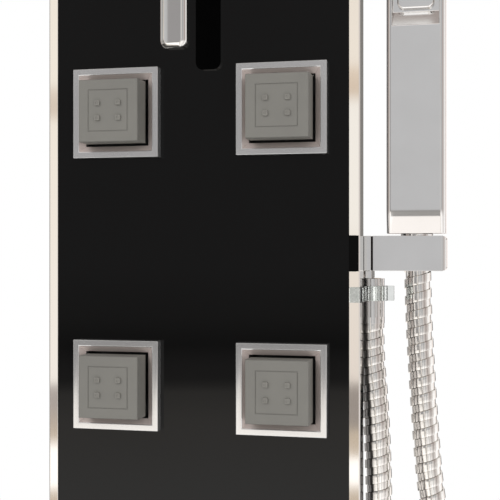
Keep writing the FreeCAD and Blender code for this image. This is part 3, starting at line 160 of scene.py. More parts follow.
def moulded_plastic(name, colour, darker, roughness, grain=0.35, ior=1.49):
    """An injection or silicone moulding. The mould's spark-eroded grain, drawn 0.5 mm wide so that it shows,
    breaks up its shine, and the colour clouds where the melt flowed."""
    grain_size, cloud_size, grain_height, unevenness = 0.5 * MM, 14 * MM, 0.03 * MM, 0.05
    material, tree, here = new_material(name)
    fine = add(tree, "ShaderNodeTexNoise", Vector=here, Scale=1 / grain_size, Detail=2.0).outputs["Fac"]
    cloud = add(tree, "ShaderNodeTexNoise", Vector=here, Scale=1 / cloud_size, Detail=2.0).outputs["Fac"]
    bump = add(tree, "ShaderNodeBump", Strength=grain, Distance=grain_height, Height=fine)
    haze = add(tree, "ShaderNodeMapRange", Value=fine, To_Min=roughness - unevenness,
               To_Max=roughness + unevenness)
    tone = add(tree, "ShaderNodeMixRGB", Fac=cloud, Color1=linear(colour), Color2=linear(darker))
    shader = add(tree, "ShaderNodeBsdfPrincipled", Base_Color=tone.outputs[0], IOR=ior,
                 Roughness=haze.outputs[0], Normal=bump.outputs[0])
    add(tree, "ShaderNodeOutputMaterial", Surface=shader.outputs[0])
    return material


def worked_metal(name, colour, darker, roughness, stretch):
    """Plain rolled, turned or cast metal. Its grain, drawn 0.6 mm wide so that it shows, is stretched along
    the way it was worked and spreads its highlights across that way."""
    grain_size, grain_height, unevenness = 0.6 * MM, 0.1 * MM, 0.06
    material, tree, here = new_material(name)
    along = add(tree, "ShaderNodeMapping", Vector=here, Scale=stretch).outputs[0]
    grain = add(tree, "ShaderNodeTexNoise", Vector=along, Scale=1 / grain_size, Detail=3.0).outputs["Fac"]
    bump = add(tree, "ShaderNodeBump", Strength=0.12, Distance=grain_height, Height=grain)
    haze = add(tree, "ShaderNodeMapRange", Value=grain, To_Min=roughness - unevenness,
               To_Max=roughness + unevenness)
    tone = add(tree, "ShaderNodeMixRGB", Fac=grain, Color1=linear(colour), Color2=linear(darker))
    shader = add(tree, "ShaderNodeBsdfPrincipled", Base_Color=tone.outputs[0], Metallic=1.0,
                 Roughness=haze.outputs[0], Normal=bump.outputs[0])
    add(tree, "ShaderNodeOutputMaterial", Surface=shader.outputs[0])
    return material


def clear_moulding(name):
    """Clear acrylic, injection moulded. It bends what lies behind it, and flow lines 5 mm wide trouble its
    faces. Its faint green shows where it is thick."""
    flow_size, flow_height = 5 * MM, 0.2 * MM
    material, tree, here = new_material(name)
    flow = add(tree, "ShaderNodeTexNoise", Vector=here, Scale=1 / flow_size, Detail=1.0).outputs["Fac"]
    bump = add(tree, "ShaderNodeBump", Strength=0.06, Distance=flow_height, Height=flow)
    tone = add(tree, "ShaderNodeMixRGB", Fac=flow, Color1=linear("e8e9e8"), Color2=linear("d2d5d2"))
    shader = add(tree, "ShaderNodeBsdfPrincipled", Base_Color=tone.outputs[0], IOR=1.49,
                 Transmission_Weight=1.0, Roughness=0.06, Normal=bump.outputs[0])
    add(tree, "ShaderNodeOutputMaterial", Surface=shader.outputs[0])
    return material


ROLLED_UPRIGHT = (1, 1, 0.02)
TURNED_ACROSS = (0.2, 1, 1)
EVEN = (1, 1, 1)

FINISHES = {
    # Toughened glass, enamelled on its back: deep black with a clear mirror over it.
    "black_glass": painted_glass("enamelled_glass"),
    # Extruded aluminium, bright dipped: a warm mirror that stretches what it shows along the strip.
    "profile_chrome": drawn_aluminium("bright_drawn_aluminium", "f1efec"),
    "cap_chrome": drawn_aluminium("bright_cap_aluminium", "eeebe6"),
    # Stainless sheet, brushed upright: a grey sheen in long streaks.
    "housing_sheet": worked_metal("brushed_steel_sheet", "b4b5b6", "8f9092", 0.36, ROLLED_UPRIGHT),
    # Zinc-plated steel: small dull silver heads.
    "screw_steel": worked_metal("plated_screw_steel", "c6c6c4", "9b9b9a", 0.28, EVEN),
    # Satin chrome on moulded plastic: paler and softer than the bright metal round it.
    "jet_chrome": chrome_plate("satin_chrome_frame", "e6e6e6", 0.06, 0.11, 0.004, 0.86),
    # Black acetal, moulded: a dark dull cup.
    "socket_plastic": moulded_plastic("black_acetal", "2b2b2c", "222223", 0.42),
    # Brass turned on a lathe: yellow, with fine rings.
    "ball_brass": worked_metal("turned_brass", "d6ba7c", "b8985a", 0.22, TURNED_ACROSS),
    # Grey ABS, moulded with a satin grain: an even warm grey.
    "head_plastic": moulded_plastic("grey_satin_abs", "7d7b75", "76746f", 0.55),
    # Grey silicone, moulded: a shade lighter than the head, and duller than plastic.
    "nozzle_rubber": moulded_plastic("grey_silicone", "85837d", "7b7872", 0.5),
    # Brass, sand cast: rough yellow pipes and bodies.
    "plumbing_brass": worked_metal("cast_brass", "c9a560", "a3803f", 0.34, EVEN),
    # Natural nylon, moulded: milky white.
    "cartridge_plastic": moulded_plastic("cartridge_nylon", "e6e4de", "d6d4ce", 0.4),
    # Chrome on cast brass: bright mirrors, warm in the shade.
    "handle_chrome": chrome_plate("handle_chrome", "e9e8e6"),
    "rain_chrome": chrome_plate("rain_head_chrome", "e9e8e6"),
    # Soft grey silicone: dull dots in the rain head.
    "rain_rubber": moulded_plastic("soft_silicone", "77767a", "66656a", 0.6),
    # Black ABS, moulded with a coarse grain: black from every side. On the holder's mount block and in the
    # swivel's seam this black is painted shade.
    "black_plastic": moulded_plastic("black_abs_and_painted_shade", "040404", "020202", 0.7, 0.3, 1.2),
    # Chrome on cast brass and on ABS: cool bright mirrors.
    "holder_chrome": chrome_plate("holder_chrome", "eae9e8"),
    "hand_chrome": chrome_plate("hand_shower_chrome", "eae9e8"),
    # Chrome on a turned nut: hazier, from the grip of a spanner.
    "nut_chrome": chrome_plate("nut_chrome", "eae9e8", 0.06, 0.12),
    # Chromed steel strip, wound and interlocked: its turns rub each other duller than the castings.
    "hose_metal": chrome_plate("interlocked_hose_metal", "efedea", 0.09, 0.16, 0.0),
    # Clear acrylic: glassy, with a faint green.
    "clip_clear": clear_moulding("clear_acrylic"),
}

# The frames' chrome again, made dull, rosy and paler for the slopes inside the jets' frames: a painted
# reflection, standing in for the light that those polished slopes mirror.
PAINTED_SLOPE_REFLECTION = chrome_plate("frame_slope_painted_reflection", "dccfca", 0.4, 0.5, 0.004, 0.45)

SLOTS = {entry["node"]: entry["material_slot"] for entry in frame["record"]["subparts"]}
BODIES = {node: body for body, nodes in frame["record"]["behaviour"]["bodies"].items() for node in nodes}

for node, obj in frame["nodes"].items():
    obj.data.materials.clear()
    obj.data.materials.append(FINISHES[SLOTS[node]])


# ---------------------------------------------------------------------------------------------
# Pieces.

def link(name, mesh):
    made = bpy.data.objects.new(name, mesh)
    bpy.context.scene.collection.objects.link(made)
    return made


def mesh_from(name, points, faces, smooth=True):
    mesh = bpy.data.meshes.new(name)
    mesh.from_pydata([tuple(p) for p in points], [], faces)
    mesh.polygons.foreach_set("use_smooth", [smooth] * len(mesh.polygons))
    mesh.update()
    return mesh


def baked(obj):
    """Turn what the modifiers make into the object's own mesh."""
    bpy.context.view_layer.update()
    graph = bpy.context.evaluated_depsgraph_get()
    mesh = bpy.data.meshes.new_from_object(obj.evaluated_get(graph))
    obj.modifiers.clear()
    obj.data = mesh
    return obj


def stand_for(made, node):
    """A finished piece takes a node's place, body, slot and finish."""
    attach(made, BODIES[node])
    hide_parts(node)
    if not made.data.materials:
        made.data.materials.append(FINISHES[SLOTS[node]])
    return made


SAME_POINT = 0.002 * MM
SAME_PLANE = math.radians(0.6)


def softened(node, edge, sharp=32, reshape=None):
    """A copy of a solid's surface, with the small rounding that its polished edges have. Edges that turn by
    more than sharp degrees are rounded over edge millimetres."""
    data = frame["nodes"][node].data.copy()
    shape = bmesh.new()
    shape.from_mesh(data)
    bmesh.ops.remove_doubles(shape, verts=shape.verts, dist=SAME_POINT)
    bmesh.ops.dissolve_limit(shape, angle_limit=SAME_PLANE, verts=shape.verts, edges=shape.edges)
    if reshape:
        reshape(shape)
    shape.to_mesh(data)
    shape.free()
    if data.has_custom_normals:
        data.normals_split_custom_set([(0, 0, 0)] * len(data.loops))
    made = link("soft_" + node, data)
    bevel = made.modifiers.new("edge", "BEVEL")
    bevel.width = edge * MM
    bevel.segments = 3
    bevel.limit_method = "ANGLE"
    bevel.angle_limit = math.radians(sharp)
    even = made.modifiers.new("flat faces stay flat", "WEIGHTED_NORMAL")
    even.weight = 100
    data.polygons.foreach_set("use_smooth", [True] * len(data.polygons))
    baked(made)
    return stand_for(made, node)


FRAME_FLAT = -66.2 * MM
SLOPE_FACING = (0.2, 0.95)


def paint_slope_reflection(mesh, finish):
    """A finish of their own for the slopes inside a frame, behind its flat front: a painted reflection there."""
    mesh.materials.append(finish)
    low, high = SLOPE_FACING
    for face in mesh.polygons:
        if low < abs(face.normal.y) < high and face.center.y > FRAME_FLAT:
            face.material_index = len(mesh.materials) - 1


def prism(name, left, right, outline):
    """A solid between two upright planes, from its outline seen from the side."""
    count = len(outline)
    points = [(x * MM, y * MM, z * MM) for x in (left, right) for y, z in outline]
    faces = [list(range(count))[::-1], list(range(count, 2 * count))]
    faces += [[k, (k + 1) % count, count + (k + 1) % count, count + k] for k in range(count)]
    shape = bmesh.new()
    shape.from_mesh(mesh_from(name, points, faces, False))
    bmesh.ops.recalc_face_normals(shape, faces=shape.faces)
    mesh = bpy.data.meshes.new(name)
    shape.to_mesh(mesh)
    shape.free()
    return link(name, mesh)


# The jets' heads float above their cups: the skirt ends ahead of the glass, and the trunnions' ears go on back.
SKIRT_END = -64.0
HEAD_WALL = 2.6


def short_skirt(low, high):
    def reshape(shape):
        for vertex in shape.verts:
            x, y, z = (c / MM for c in vertex.co)
            in_wall = min(x - low[0], high[0] - x, z - low[2], high[2] - z) < HEAD_WALL
            if in_wall and y > SKIRT_END:
                vertex.co.y = SKIRT_END * MM
    return reshape


# The hand shower's front leans back below a soft bend near its foot. Heights of the bend are above the foot.
FOOT_Z = -190.6
FOOT_BEND = (10.0, 16.2)
FOOT_CUTS = 8
FOOT_LEAN = math.tan(math.radians(11))
HAND_FRONT = -36.0


def foot_shift(height):
    low, high = FOOT_BEND
    if height >= high:
        return 0.0
    bend = (high - max(height, low)) ** 2 / (2 * (high - low))
    return FOOT_LEAN * (bend + max(0.0, low - height))


def leaning_foot(shape):
    low, high = FOOT_BEND
    cuts = [FOOT_Z + low + (high - low) * step / FOOT_CUTS for step in range(FOOT_CUTS + 1)]
    sliced(shape, [(0, 0, height * MM) for height in cuts], (0, 0, 1))
    for vertex in shape.verts:
        y, z = vertex.co.y / MM, vertex.co.z / MM
        if y < HAND_FRONT:
            vertex.co.y += foot_shift(z - FOOT_Z) * MM


def sliced(shape, places, normal):
    """Cut loops across a shape, so that its faces can bend."""
    for place in places:
        geometry = shape.verts[:] + shape.edges[:] + shape.faces[:]
        bmesh.ops.bisect_plane(shape, geom=geometry, plane_co=place, plane_no=normal)


# The lever's front is crowned, with its crest right of its middle, so that its left third mirrors another part
# of the room. The crown is how far it falls away, for each square millimetre from the crest.
LEVER_MIDDLE = -4.0
LEVER_HALF = 7
LEVER_CREST = LEVER_MIDDLE + 3.0
LEVER_CROWN = 0.006
LEVER_FRONT = -97.0


def crowned_lever(shape):
    cuts = [LEVER_MIDDLE + step for step in range(-LEVER_HALF, LEVER_HALF + 1)]
    sliced(shape, [(across * MM, 0, 0) for across in cuts], (1, 0, 0))
    for vertex in shape.verts:
        if vertex.co.y < LEVER_FRONT * MM:
            vertex.co.y += LEVER_CROWN * MM * (vertex.co.x / MM - LEVER_CREST) ** 2


# How wide each polished edge is rounded, in millimetres.
EDGES = {
    "front_panel": 0.4, "edge_profile_left": 0.25, "edge_profile_right": 0.25, "top_cap": 0.3,
    "bottom_cap": 0.3, "mixer_cover": 0.5, "handle_turret": 0.6, "diverter_cover": 0.5, "diverter_knob": 0.6,
    "rain_arm": 0.4, "rain_head": 0.8, "holder_base": 0.5, "spray_plate": 0.4, "holder_block": 0.45,
    "outlet_nipple": 0.3, "cone_nut": 0.4, "hose_nut": 0.25, "hose_clip": 0.5,
}
FRAME_EDGE = 0.3
HEAD_EDGE = 0.15

for number in range(1, 5):
    low, high = (corner / MM for corner in map(Vector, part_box("jet_%d_head" % number)))
    softened("jet_%d_head" % number, HEAD_EDGE, reshape=short_skirt(low, high))
softened("hand_shower", 0.3, sharp=20, reshape=leaning_foot)
softened("lever_handle", 0.4, reshape=crowned_lever)
for node, edge in EDGES.items():
    softened(node, edge)
for number in range(1, 5):
    # The slopes inside each frame get a painted reflection, a paler rosy chrome.
    paint_slope_reflection(softened("jet_%d_frame" % number, FRAME_EDGE).data, PAINTED_SLOPE_REFLECTION)


# The black block fills the profile's front up to its bright edge: painted shade, for the holder's chrome bar in
# shadow behind the clear margin. A thin black sheet fills the swivel's seam: painted shade in the seam.
BLOCK_PROUD = 0.25
BLOCK_WIDER = 1.6
BLOCK_MIDDLE = 96.0
SEAM_SHADE_SIDES = (104.55, 105.85)
SEAM_SHADE_OUTLINE = [(-41.6, -213.2), (-18.4, -213.2), (-18.4, -192.2), (-41.6, -192.2)]
SEAM_SHADE_EDGE = 0.2


def wide_block(shape):
    for vertex in shape.verts:
        vertex.co.y -= BLOCK_PROUD * MM
        if vertex.co.x > BLOCK_MIDDLE * MM:
            vertex.co.x += BLOCK_WIDER * MM


# The black block, pushed forward and widened: painted shade behind the clear margin.
softened("holder_mount_block", 0.15, reshape=wide_block)
# A thin black sheet in the swivel's seam: painted shade.
seam_shade_sheet = prism("holder_seam_shade_sheet", *SEAM_SHADE_SIDES, SEAM_SHADE_OUTLINE)
rim = seam_shade_sheet.modifiers.new("rim", "BEVEL")
rim.width = SEAM_SHADE_EDGE * MM
rim.segments = 2
baked(seam_shade_sheet)
seam_shade_sheet.data.materials.append(FINISHES["black_plastic"])
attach(seam_shade_sheet, "column")


# ---------------------------------------------------------------------------------------------
# The jets' rubber nozzles: rounded square studs on a grid, each with a dimple in its top.

def stud_grid():
    tree = bpy.data.node_groups.new("stud_grid", "GeometryNodeTree")
    for title in ("Columns", "Rows"):
        tree.interface.new_socket(title, in_out="INPUT", socket_type="NodeSocketInt")
    for title in ("Column Pitch", "Row Pitch", "Side", "Corner", "Proud", "Taper", "Dimple"):
        tree.interface.new_socket(title, in_out="INPUT", socket_type="NodeSocketFloat")
    tree.interface.new_socket("Rubber", in_out="INPUT", socket_type="NodeSocketMaterial")
    tree.interface.new_socket("Studs", in_out="OUTPUT", socket_type="NodeSocketGeometry")
    given = tree.nodes.new("NodeGroupInput").outputs

    def reach(count, pitch):
        gaps = add(tree, "ShaderNodeMath", {"operation": "SUBTRACT"}, _0=given[count], _1=1.0).outputs[0]
        return add(tree, "ShaderNodeMath", {"operation": "MULTIPLY"}, _0=gaps, _1=given[pitch]).outputs[0]

    grid = add(tree, "GeometryNodeMeshGrid", Size_X=reach("Columns", "Column Pitch"),
               Size_Y=reach("Rows", "Row Pitch"), Vertices_X=given["Columns"], Vertices_Y=given["Rows"])
    square = add(tree, "GeometryNodeCurvePrimitiveQuadrilateral", {"mode": "RECTANGLE"}, Width=given["Side"],
                 Height=given["Side"])
    rounded = add(tree, "GeometryNodeFilletCurve", {"mode": "POLY"}, Curve=square.outputs[0], Count=3,
                  Radius=given["Corner"])
    face = add(tree, "GeometryNodeFillCurve", {"mode": "NGONS"}, Curve=rounded.outputs[0])
    stud = add(tree, "GeometryNodeExtrudeMesh", Mesh=face.outputs[0], Offset_Scale=given["Proud"])
    top = add(tree, "GeometryNodeScaleElements", Geometry=stud.outputs["Mesh"], Selection=stud.outputs["Top"],
              Scale=given["Taper"])
    lip = add(tree, "GeometryNodeExtrudeMesh", Mesh=top.outputs[0], Selection=stud.outputs["Top"],
              Offset_Scale=0.0)
    mouth = add(tree, "GeometryNodeScaleElements", Geometry=lip.outputs["Mesh"], Selection=lip.outputs["Top"],
                Scale=0.5)
    sunk = add(tree, "ShaderNodeMath", {"operation": "MULTIPLY"}, _0=given["Dimple"], _1=-1.0)
    dimple = add(tree, "GeometryNodeExtrudeMesh", Mesh=mouth.outputs[0], Selection=lip.outputs["Top"],
                 Offset_Scale=sunk.outputs[0])
    under = add(tree, "GeometryNodeFlipFaces", Mesh=face.outputs[0])
    whole = tree.nodes.new("GeometryNodeJoinGeometry")
    tree.links.new(dimple.outputs["Mesh"], whole.inputs[0])
    tree.links.new(under.outputs[0], whole.inputs[0])
    closed = add(tree, "GeometryNodeMergeByDistance", Geometry=whole.outputs[0], Distance=0.005 * MM)
    placed = add(tree, "GeometryNodeInstanceOnPoints", Points=grid.outputs["Mesh"], Instance=closed.outputs[0])
    real = add(tree, "GeometryNodeRealizeInstances", Geometry=placed.outputs[0])
    finished = add(tree, "GeometryNodeSetMaterial", Geometry=real.outputs[0], Material=given["Rubber"])
    tree.links.new(finished.outputs[0], tree.nodes.new("NodeGroupOutput").inputs[0])
    return tree


def grown(name, tree, sizes):
    """The mesh that a tree makes from the given sizes."""
    made = link(name, bpy.data.meshes.new(name))
    growth = made.modifiers.new("growth", "NODES")
    growth.node_group = tree
    for socket in tree.interface.items_tree:
        if socket.in_out == "INPUT" and socket.name in sizes:
            growth[socket.identifier] = sizes[socket.name]
    return baked(made)


STUDS = stud_grid()
STUD_SIZES = {
    "Columns": 2, "Rows": 2, "Column Pitch": 13.5 * MM, "Row Pitch": 9.3 * MM, "Side": 3.5 * MM,
    "Corner": 0.5 * MM, "Proud": 1.2 * MM, "Taper": 0.86, "Dimple": 0.25 * MM,
    "Rubber": FINISHES["nozzle_rubber"],
}
FACE_FRONT = Matrix.Rotation(math.radians(90), 4, "X")

for number in range(1, 5):
    low, high = map(Vector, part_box("jet_%d_nozzles" % number))
    middle = (low + high) / 2
    head_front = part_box("jet_%d_head" % number)[0][1]
    studs = grown("jet_%d_studs" % number, STUDS, STUD_SIZES)
    studs.data.transform(Matrix.Translation((middle.x, head_front, middle.z)) @ FACE_FRONT)
    stand_for(studs, "jet_%d_nozzles" % number)


# ---------------------------------------------------------------------------------------------
# The hose: a steel strip wound on itself, a wide band and a narrow one in each turn.

JETS_Z = -200
HOSE_REACH = 30
HOSE_DIAMETER = 16.6
HOSE_PITCH = 10.4
HOSE_SIDES = 28
HOSE_CREASE = math.radians(38)
WINDING_MERGE = 0.01 * MM
# Right of the panel's middle and above the jets' centre, in millimetres.
HOSE_ROUTE = [
    (103.3, -46.2), (103.3, -66.2), (106.1, -94), (108.2, -140), (108.6, -190), (107.2, -244), (104.9, -298),
    (102.7, -352), (100.8, -406), (97.6, -458), (92, -508), (84, -552), (75.6, -592), (70.8, -632),
    (94.6, -689.4), (152, -713), (209.4, -689.4), (233.2, -632), (232.4, -584), (227.6, -536), (219, -488),
    (208.6, -440), (197.2, -392), (185.2, -342), (173.2, -293), (161.8, -246), (151, -200), (140.3, -155),
    (135.9, -96), (131.8, -23.5), (131.8, 42.4),
]
# One turn of the winding: share of the pitch, and depth below the outer radius in millimetres.
BAND_PROFILE = [
    (0.00, 1.35), (0.015, 0.06), (0.05, 0.0), (0.20, 0.0), (0.36, 0.0), (0.50, 0.0), (0.53, 0.06), (0.545, 1.35),
    (0.57, 0.92), (0.70, 0.9), (0.84, 0.9), (0.98, 0.92),
]


def hose_line():
    curve = bpy.data.curves.new("hose_line", "CURVE")
    curve.dimensions = "3D"
    curve.resolution_u = 12
    spline = curve.splines.new("NURBS")
    spline.points.add(len(HOSE_ROUTE) - 1)
    for knot, (x, z) in zip(spline.points, HOSE_ROUTE):
        knot.co = (x * MM, -HOSE_REACH * MM, (JETS_Z + z) * MM, 1)
    spline.order_u = 3
    spline.use_endpoint_u = True
    holder = link("hose_line", curve)
    bpy.context.view_layer.update()
    mesh = bpy.data.meshes.new_from_object(holder.evaluated_get(bpy.context.evaluated_depsgraph_get()))
    line = [vertex.co.copy() for vertex in mesh.vertices]
    bpy.data.objects.remove(holder)
    return line


def line_walker(line):
    """Place and direction at a distance along a line of points."""
    marks = [0.0]
    for before, after in zip(line, line[1:]):
        marks.append(marks[-1] + (after - before).length)

    def walk(distance):
        distance = min(max(distance, 0.0), marks[-1])
        low = 0
        high = len(marks) - 1
        while high - low > 1:
            half = (low + high) // 2
            if marks[half] <= distance:
                low = half
            else:
                high = half
        share = (distance - marks[low]) / (marks[high] - marks[low])
        onward = line[high] - line[low]
        return line[low] + onward * share, onward.normalized()
    return walk, marks[-1]


def wound_hose():
    """The band's profile, wound once round the line in each pitch, and closed at both ends."""
    line = hose_line()
    walk, length = line_walker(line)
    pitch = HOSE_PITCH * MM
    turns = int(length / pitch) + 3
    steps = len(BAND_PROFILE)
    points = []
    across = Vector((0, -1, 0))
    for turn in range(-1, turns):
        for share, depth in BAND_PROFILE:
            for side in range(HOSE_SIDES):
                angle = side / HOSE_SIDES
                distance = (turn + share - 1 + angle) * pitch
                centre, onward = walk(distance)
                beside = onward.cross(across)
                radius = (HOSE_DIAMETER / 2 - depth) * MM
                out = across * math.cos(math.tau * angle) + beside * math.sin(math.tau * angle)
                points.append(centre + out * radius)
    rows = turns * steps + steps
    faces = []
    for row in range(rows - 1):
        for side in range(HOSE_SIDES):
            if side < HOSE_SIDES - 1:
                corners = [(row, side), (row, side + 1), (row + 1, side + 1), (row + 1, side)]
            elif row + steps + 1 < rows:
                corners = [(row, side), (row + steps, 0), (row + steps + 1, 0), (row + 1, side)]
            else:
                continue
            faces.append([r * HOSE_SIDES + s for r, s in corners])
    mesh = mesh_from("wound_hose", points, faces)
    shape = bmesh.new()
    shape.from_mesh(mesh)
    bmesh.ops.remove_doubles(shape, verts=shape.verts, dist=WINDING_MERGE)
    loose = [vertex for vertex in shape.verts if not vertex.link_faces]
    bmesh.ops.delete(shape, geom=loose, context="VERTS")
    bmesh.ops.holes_fill(shape, edges=shape.edges, sides=0)
    bmesh.ops.recalc_face_normals(shape, faces=shape.faces)
    shape.to_mesh(mesh)
    shape.free()
    mesh.set_sharp_from_angle(angle=HOSE_CREASE)
    return link("wound_hose", mesh), line


hose, hose_points = wound_hose()
hose.data.materials.append(FINISHES["hose_metal"])
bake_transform(hose)
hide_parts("hose")


# ---------------------------------------------------------------------------------------------
# The pale floor, the lamps, and the studio round the panel. Rough surfaces and the camera meet plain white.
# Polished ones mirror a studio of soft boxes, grey screens and black flags, which draw the lines on the metal.

FLOOR_Z = -1.15
FLOOR_CORNERS = [(-2.5, -2.5), (2.5, -2.5), (2.5, 1.5), (-2.5, 1.5)]
SPECK_SIZE = 25 * MM

# White paint on a smooth floor: matt, with hardly any colour of its own.
floor = link("floor", mesh_from("floor", [(x, y, FLOOR_Z) for x, y in FLOOR_CORNERS], [[0, 1, 2, 3]], False))
paint, tree, here = new_material("white_painted_floor")
speck = add(tree, "ShaderNodeTexNoise", Vector=here, Scale=1 / SPECK_SIZE, Detail=2.0)
tone = add(tree, "ShaderNodeMixRGB", Fac=speck.outputs["Fac"], Color1=linear("fbfbfa"), Color2=linear("f7f7f6"))
shader = add(tree, "ShaderNodeBsdfPrincipled", Base_Color=tone.outputs[0], Roughness=0.7)
add(tree, "ShaderNodeOutputMaterial", Surface=shader.outputs[0])
floor.data.materials.append(paint)
floor.visible_glossy = False

AIR_BRIGHT = 0.75
STUDIO_BRIGHT = 1.4
WHITE_BRIGHT = 1.0

world = bpy.data.worlds.new("white_room")
bpy.context.scene.world = world
world.use_nodes = True
tree = world.node_tree
tree.nodes.clear()


def ladder(tree, angle, stops, low, high):
    """Colours at angles between two others, each mixed into the next."""
    scaled = add(tree, "ShaderNodeMapRange", Value=angle, From_Min=low, From_Max=high)
    node = add(tree, "ShaderNodeValToRGB", Fac=scaled.outputs[0])
    ramp = node.color_ramp
    while len(ramp.elements) < len(stops):
        ramp.elements.new(0.5)
    for element, (degrees, _) in zip(ramp.elements, stops):
        element.position = (degrees - low) / (high - low)
    for element, (_, colour) in zip(ramp.elements, stops):
        element.color = linear(colour)
    return node.outputs[0]


def facing(tree, azimuth, low, high, soft):
    """1 between two directions round the room, 0 outside them."""
    rise = add(tree, "ShaderNodeMapRange", Value=azimuth, From_Min=low - soft, From_Max=low + soft)
    fall = add(tree, "ShaderNodeMapRange", Value=azimuth, From_Min=high - soft, From_Max=high + soft,
               To_Min=1.0, To_Max=0.0)
    return add(tree, "ShaderNodeMath", {"operation": "MULTIPLY"}, _0=rise.outputs[0],
               _1=fall.outputs[0]).outputs[0]


# Directions in degrees: the azimuth from straight ahead of the glass to its right, and the height above level.
DEGREES = 180 / math.pi
way = add(tree, "ShaderNodeSeparateXYZ", Vector=add(tree, "ShaderNodeTexCoord").outputs["Generated"]).outputs
ahead = add(tree, "ShaderNodeMath", {"operation": "MULTIPLY"}, _0=way[1], _1=-1.0)
turn = add(tree, "ShaderNodeMath", {"operation": "ARCTAN2"}, _0=way[0], _1=ahead.outputs[0])
azimuth = add(tree, "ShaderNodeMath", {"operation": "MULTIPLY"}, _0=turn.outputs[0], _1=DEGREES).outputs[0]
rise = add(tree, "ShaderNodeMath", {"operation": "ARCSINE"}, _0=way[2])
elevation = add(tree, "ShaderNodeMath", {"operation": "MULTIPLY"}, _0=rise.outputs[0], _1=DEGREES).outputs[0]

LOWEST, HIGHEST = -30.0, 60.0
# Each entry is one screen of the studio: the azimuths from which and to which it stands, how soft its sides are,
# and its colours up the room. A later screen stands in front of the earlier ones.
STUDIO = [
    # The room itself.
    (-200, 200, 1, [(-14, "e8e2dc"), (-9, "dbd3cf"), (10, "dbd3cf"), (40, "d0cecb")]),
    # Behind the panel to its right: a grey screen for the side of the right strip, and a black one for the
    # outer sides of the jets' frames.
    (168, 174.6, 0.5, [(-14, "75726f"), (30, "6c6a67")]),
    (150, 168.2, 0.5, [(-14, "1c1b1a"), (30, "242322")]),
    # To the left: a grey screen for what faces left, with black under it and a rosy one in it for the slopes
    # inside the jets' frames.
    (-155, -50, 6, [(-30, "42403e"), (-20, "42403e"), (-16, "b4b1ae"), (-9, "8d8b88"), (0, "8f8d8a"),
                    (12, "a9a8a6"), (40, "a09f9d")]),
    (-111, -95.5, 1.5, [(-30, "42403e"), (-20, "42403e"), (-14, "b3a6a1"), (30, "b0a39e")]),
    # Ahead of the panel: a table, a grey wall and a soft box over it, for the holder and the hand shower.
    (-39, 45, 3, [(-14, "fffdfb"), (-9, "eceae8"), (-5, "c8c6c5"), (-2, "b4b4b4"), (20, "b1b1b2"),
                  (26, "fbf9f8"), (40, "d2cac6"), (54, "958c88")]),
    # The hand shower's foot, which leans and so mirrors a lower, brighter part of the room.
    (-7.3, 0, 0.6, [(-19, "f0ebe7"), (-17, "8c8a88"), (-11, "94928f"), (-6, "8a8886"), (-4, "adadad"),
                    (-2, "b1b1b2"), (18, "b1b1b2"), (26, "fbf9f8"), (40, "d2cac6"), (54, "958c88")]),
    # What the left strip mirrors, and then the right strip: warm bands, as of a far room.
    (-37, -31.4, 0.7, [(-13.2, "b3a594"), (-12.5, "b3a594"), (-12.2, "fbf7f3"), (-10.2, "fbf7f3"),
                       (-9.8, "b3a594"), (-8, "9a928e"), (-7.2, "9a928e"), (-6.8, "ddd8d2"), (6.8, "ddd6cc"),
                       (7, "c0b2a4"), (8.2, "c9bdb0"), (8.6, "ddd6cc"), (20, "ddd6cc")]),
    (0.6, 5.6, 0.5, [(-13.2, "b3a594"), (-12.5, "b3a594"), (-12.2, "fbf7f3"), (-11, "fbf7f3"),
                     (-10.6, "b3a594"), (-9.6, "b3a594"), (-9.2, "8a827c"), (-7.2, "8a827c"), (-6.9, "cfc6be"),
                     (-1, "d3cbc2"), (1.5, "dedad4"), (7.8, "dedad4"), (8.2, "bfae9c"), (9.4, "cbbcac"),
                     (9.8, "dad2c8"), (20, "d2cac0")]),
    # What the glass and the fronts of the jets' frames mirror: a grey room above a pale table.
    (-25.6, -7.5, 0.4, [(-30, "ffffff"), (-12.5, "f6f3ef"), (-9, "ece6df"), (-7.4, "d2cdc7"), (-7.0, "8f8c8a"),
                        (-6, "858281"), (-5, "656362"), (-3.5, "7f7d7c"), (-1, "8b8989"), (20, "929090"),
                        (30, "d0cecc"), (54, "958c88")]),
    # A black flag to the left, which draws a line down round metal.
    (-50, -41, 1, [(-30, "060606"), (60, "0a0a0a")]),
    # Soft boxes to the right, for what faces right.
    (45, 82, 5, [(-16, "fbf9f8"), (-9, "dcd9d7"), (-4, "c0bab7"), (10, "b8afac"), (50, "b4acaa")]),
    (82, 125, 6, [(-16, "ffffff"), (0, "e8e6e5"), (50, "dcdad8")]),
]
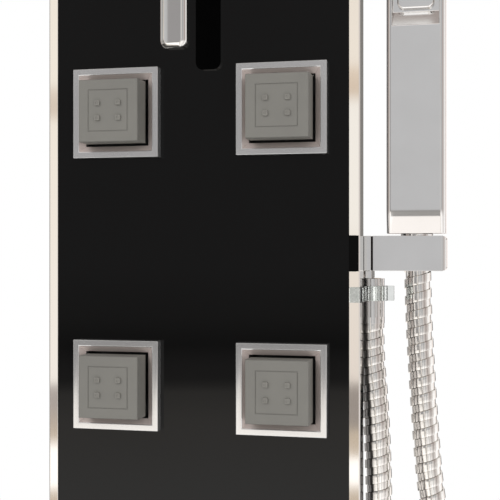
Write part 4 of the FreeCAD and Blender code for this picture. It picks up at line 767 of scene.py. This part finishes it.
# Tall bars of light and shade to the right, which draw the upright stripes on the hose.
BARS = [(-30, "ffffff"), (8, "ffffff"), (13, "cdcdcd"), (18, "ffffff"), (28, "ffffff"), (33, "b5b3b2"),
        (38, "ffffff"), (58, "e4e2e1"), (63, "a19e9d"), (70, "f8f6f5"), (88, "d0cdcb"), (96, "ffffff")]
room = None
for low, high, soft, stops in STUDIO:
    zone = ladder(tree, elevation, stops, LOWEST, HIGHEST)
    room = zone if room is None else add(tree, "ShaderNodeMixRGB", Fac=facing(tree, azimuth, low, high, soft),
                                         Color1=room, Color2=zone).outputs[0]

bars = ladder(tree, azimuth, BARS, -180.0, 180.0)
room = add(tree, "ShaderNodeMixRGB", {"blend_type": "MULTIPLY"}, Fac=1.0, Color1=room, Color2=bars).outputs[0]
ray = add(tree, "ShaderNodeLightPath")
seen = add(tree, "ShaderNodeMath", {"operation": "MAXIMUM"}, _0=ray.outputs["Is Camera Ray"],
           _1=ray.outputs["Is Transmission Ray"])
air = add(tree, "ShaderNodeBackground", Color=linear("ffffff"), Strength=AIR_BRIGHT)
studio = add(tree, "ShaderNodeBackground", Color=room, Strength=STUDIO_BRIGHT)
backdrop = add(tree, "ShaderNodeBackground", Color=linear("ffffff"), Strength=WHITE_BRIGHT)
mirrored = add(tree, "ShaderNodeMixShader", _0=ray.outputs["Is Glossy Ray"], _1=air.outputs[0],
               _2=studio.outputs[0])
sky = add(tree, "ShaderNodeMixShader", _0=seen.outputs[0], _1=mirrored.outputs[0], _2=backdrop.outputs[0])
add(tree, "ShaderNodeOutputWorld", Surface=sky.outputs[0])


LAMP_AIM = Vector((0, 0, -0.2))


def lamp(name, place, watts, wide):
    light = bpy.data.lights.new(name, "AREA")
    light.energy = watts
    light.size = wide
    made = link(name, light)
    made.location = place
    made.rotation_euler = (LAMP_AIM - Vector(place)).to_track_quat("-Z", "Y").to_euler()
    made.visible_glossy = False
    return made


lamp("key_lamp", (-1.4, -2.0, 1.2), 22, 1.2)
lamp("fill_lamp", (1.6, -1.8, 0.2), 9, 1.4)
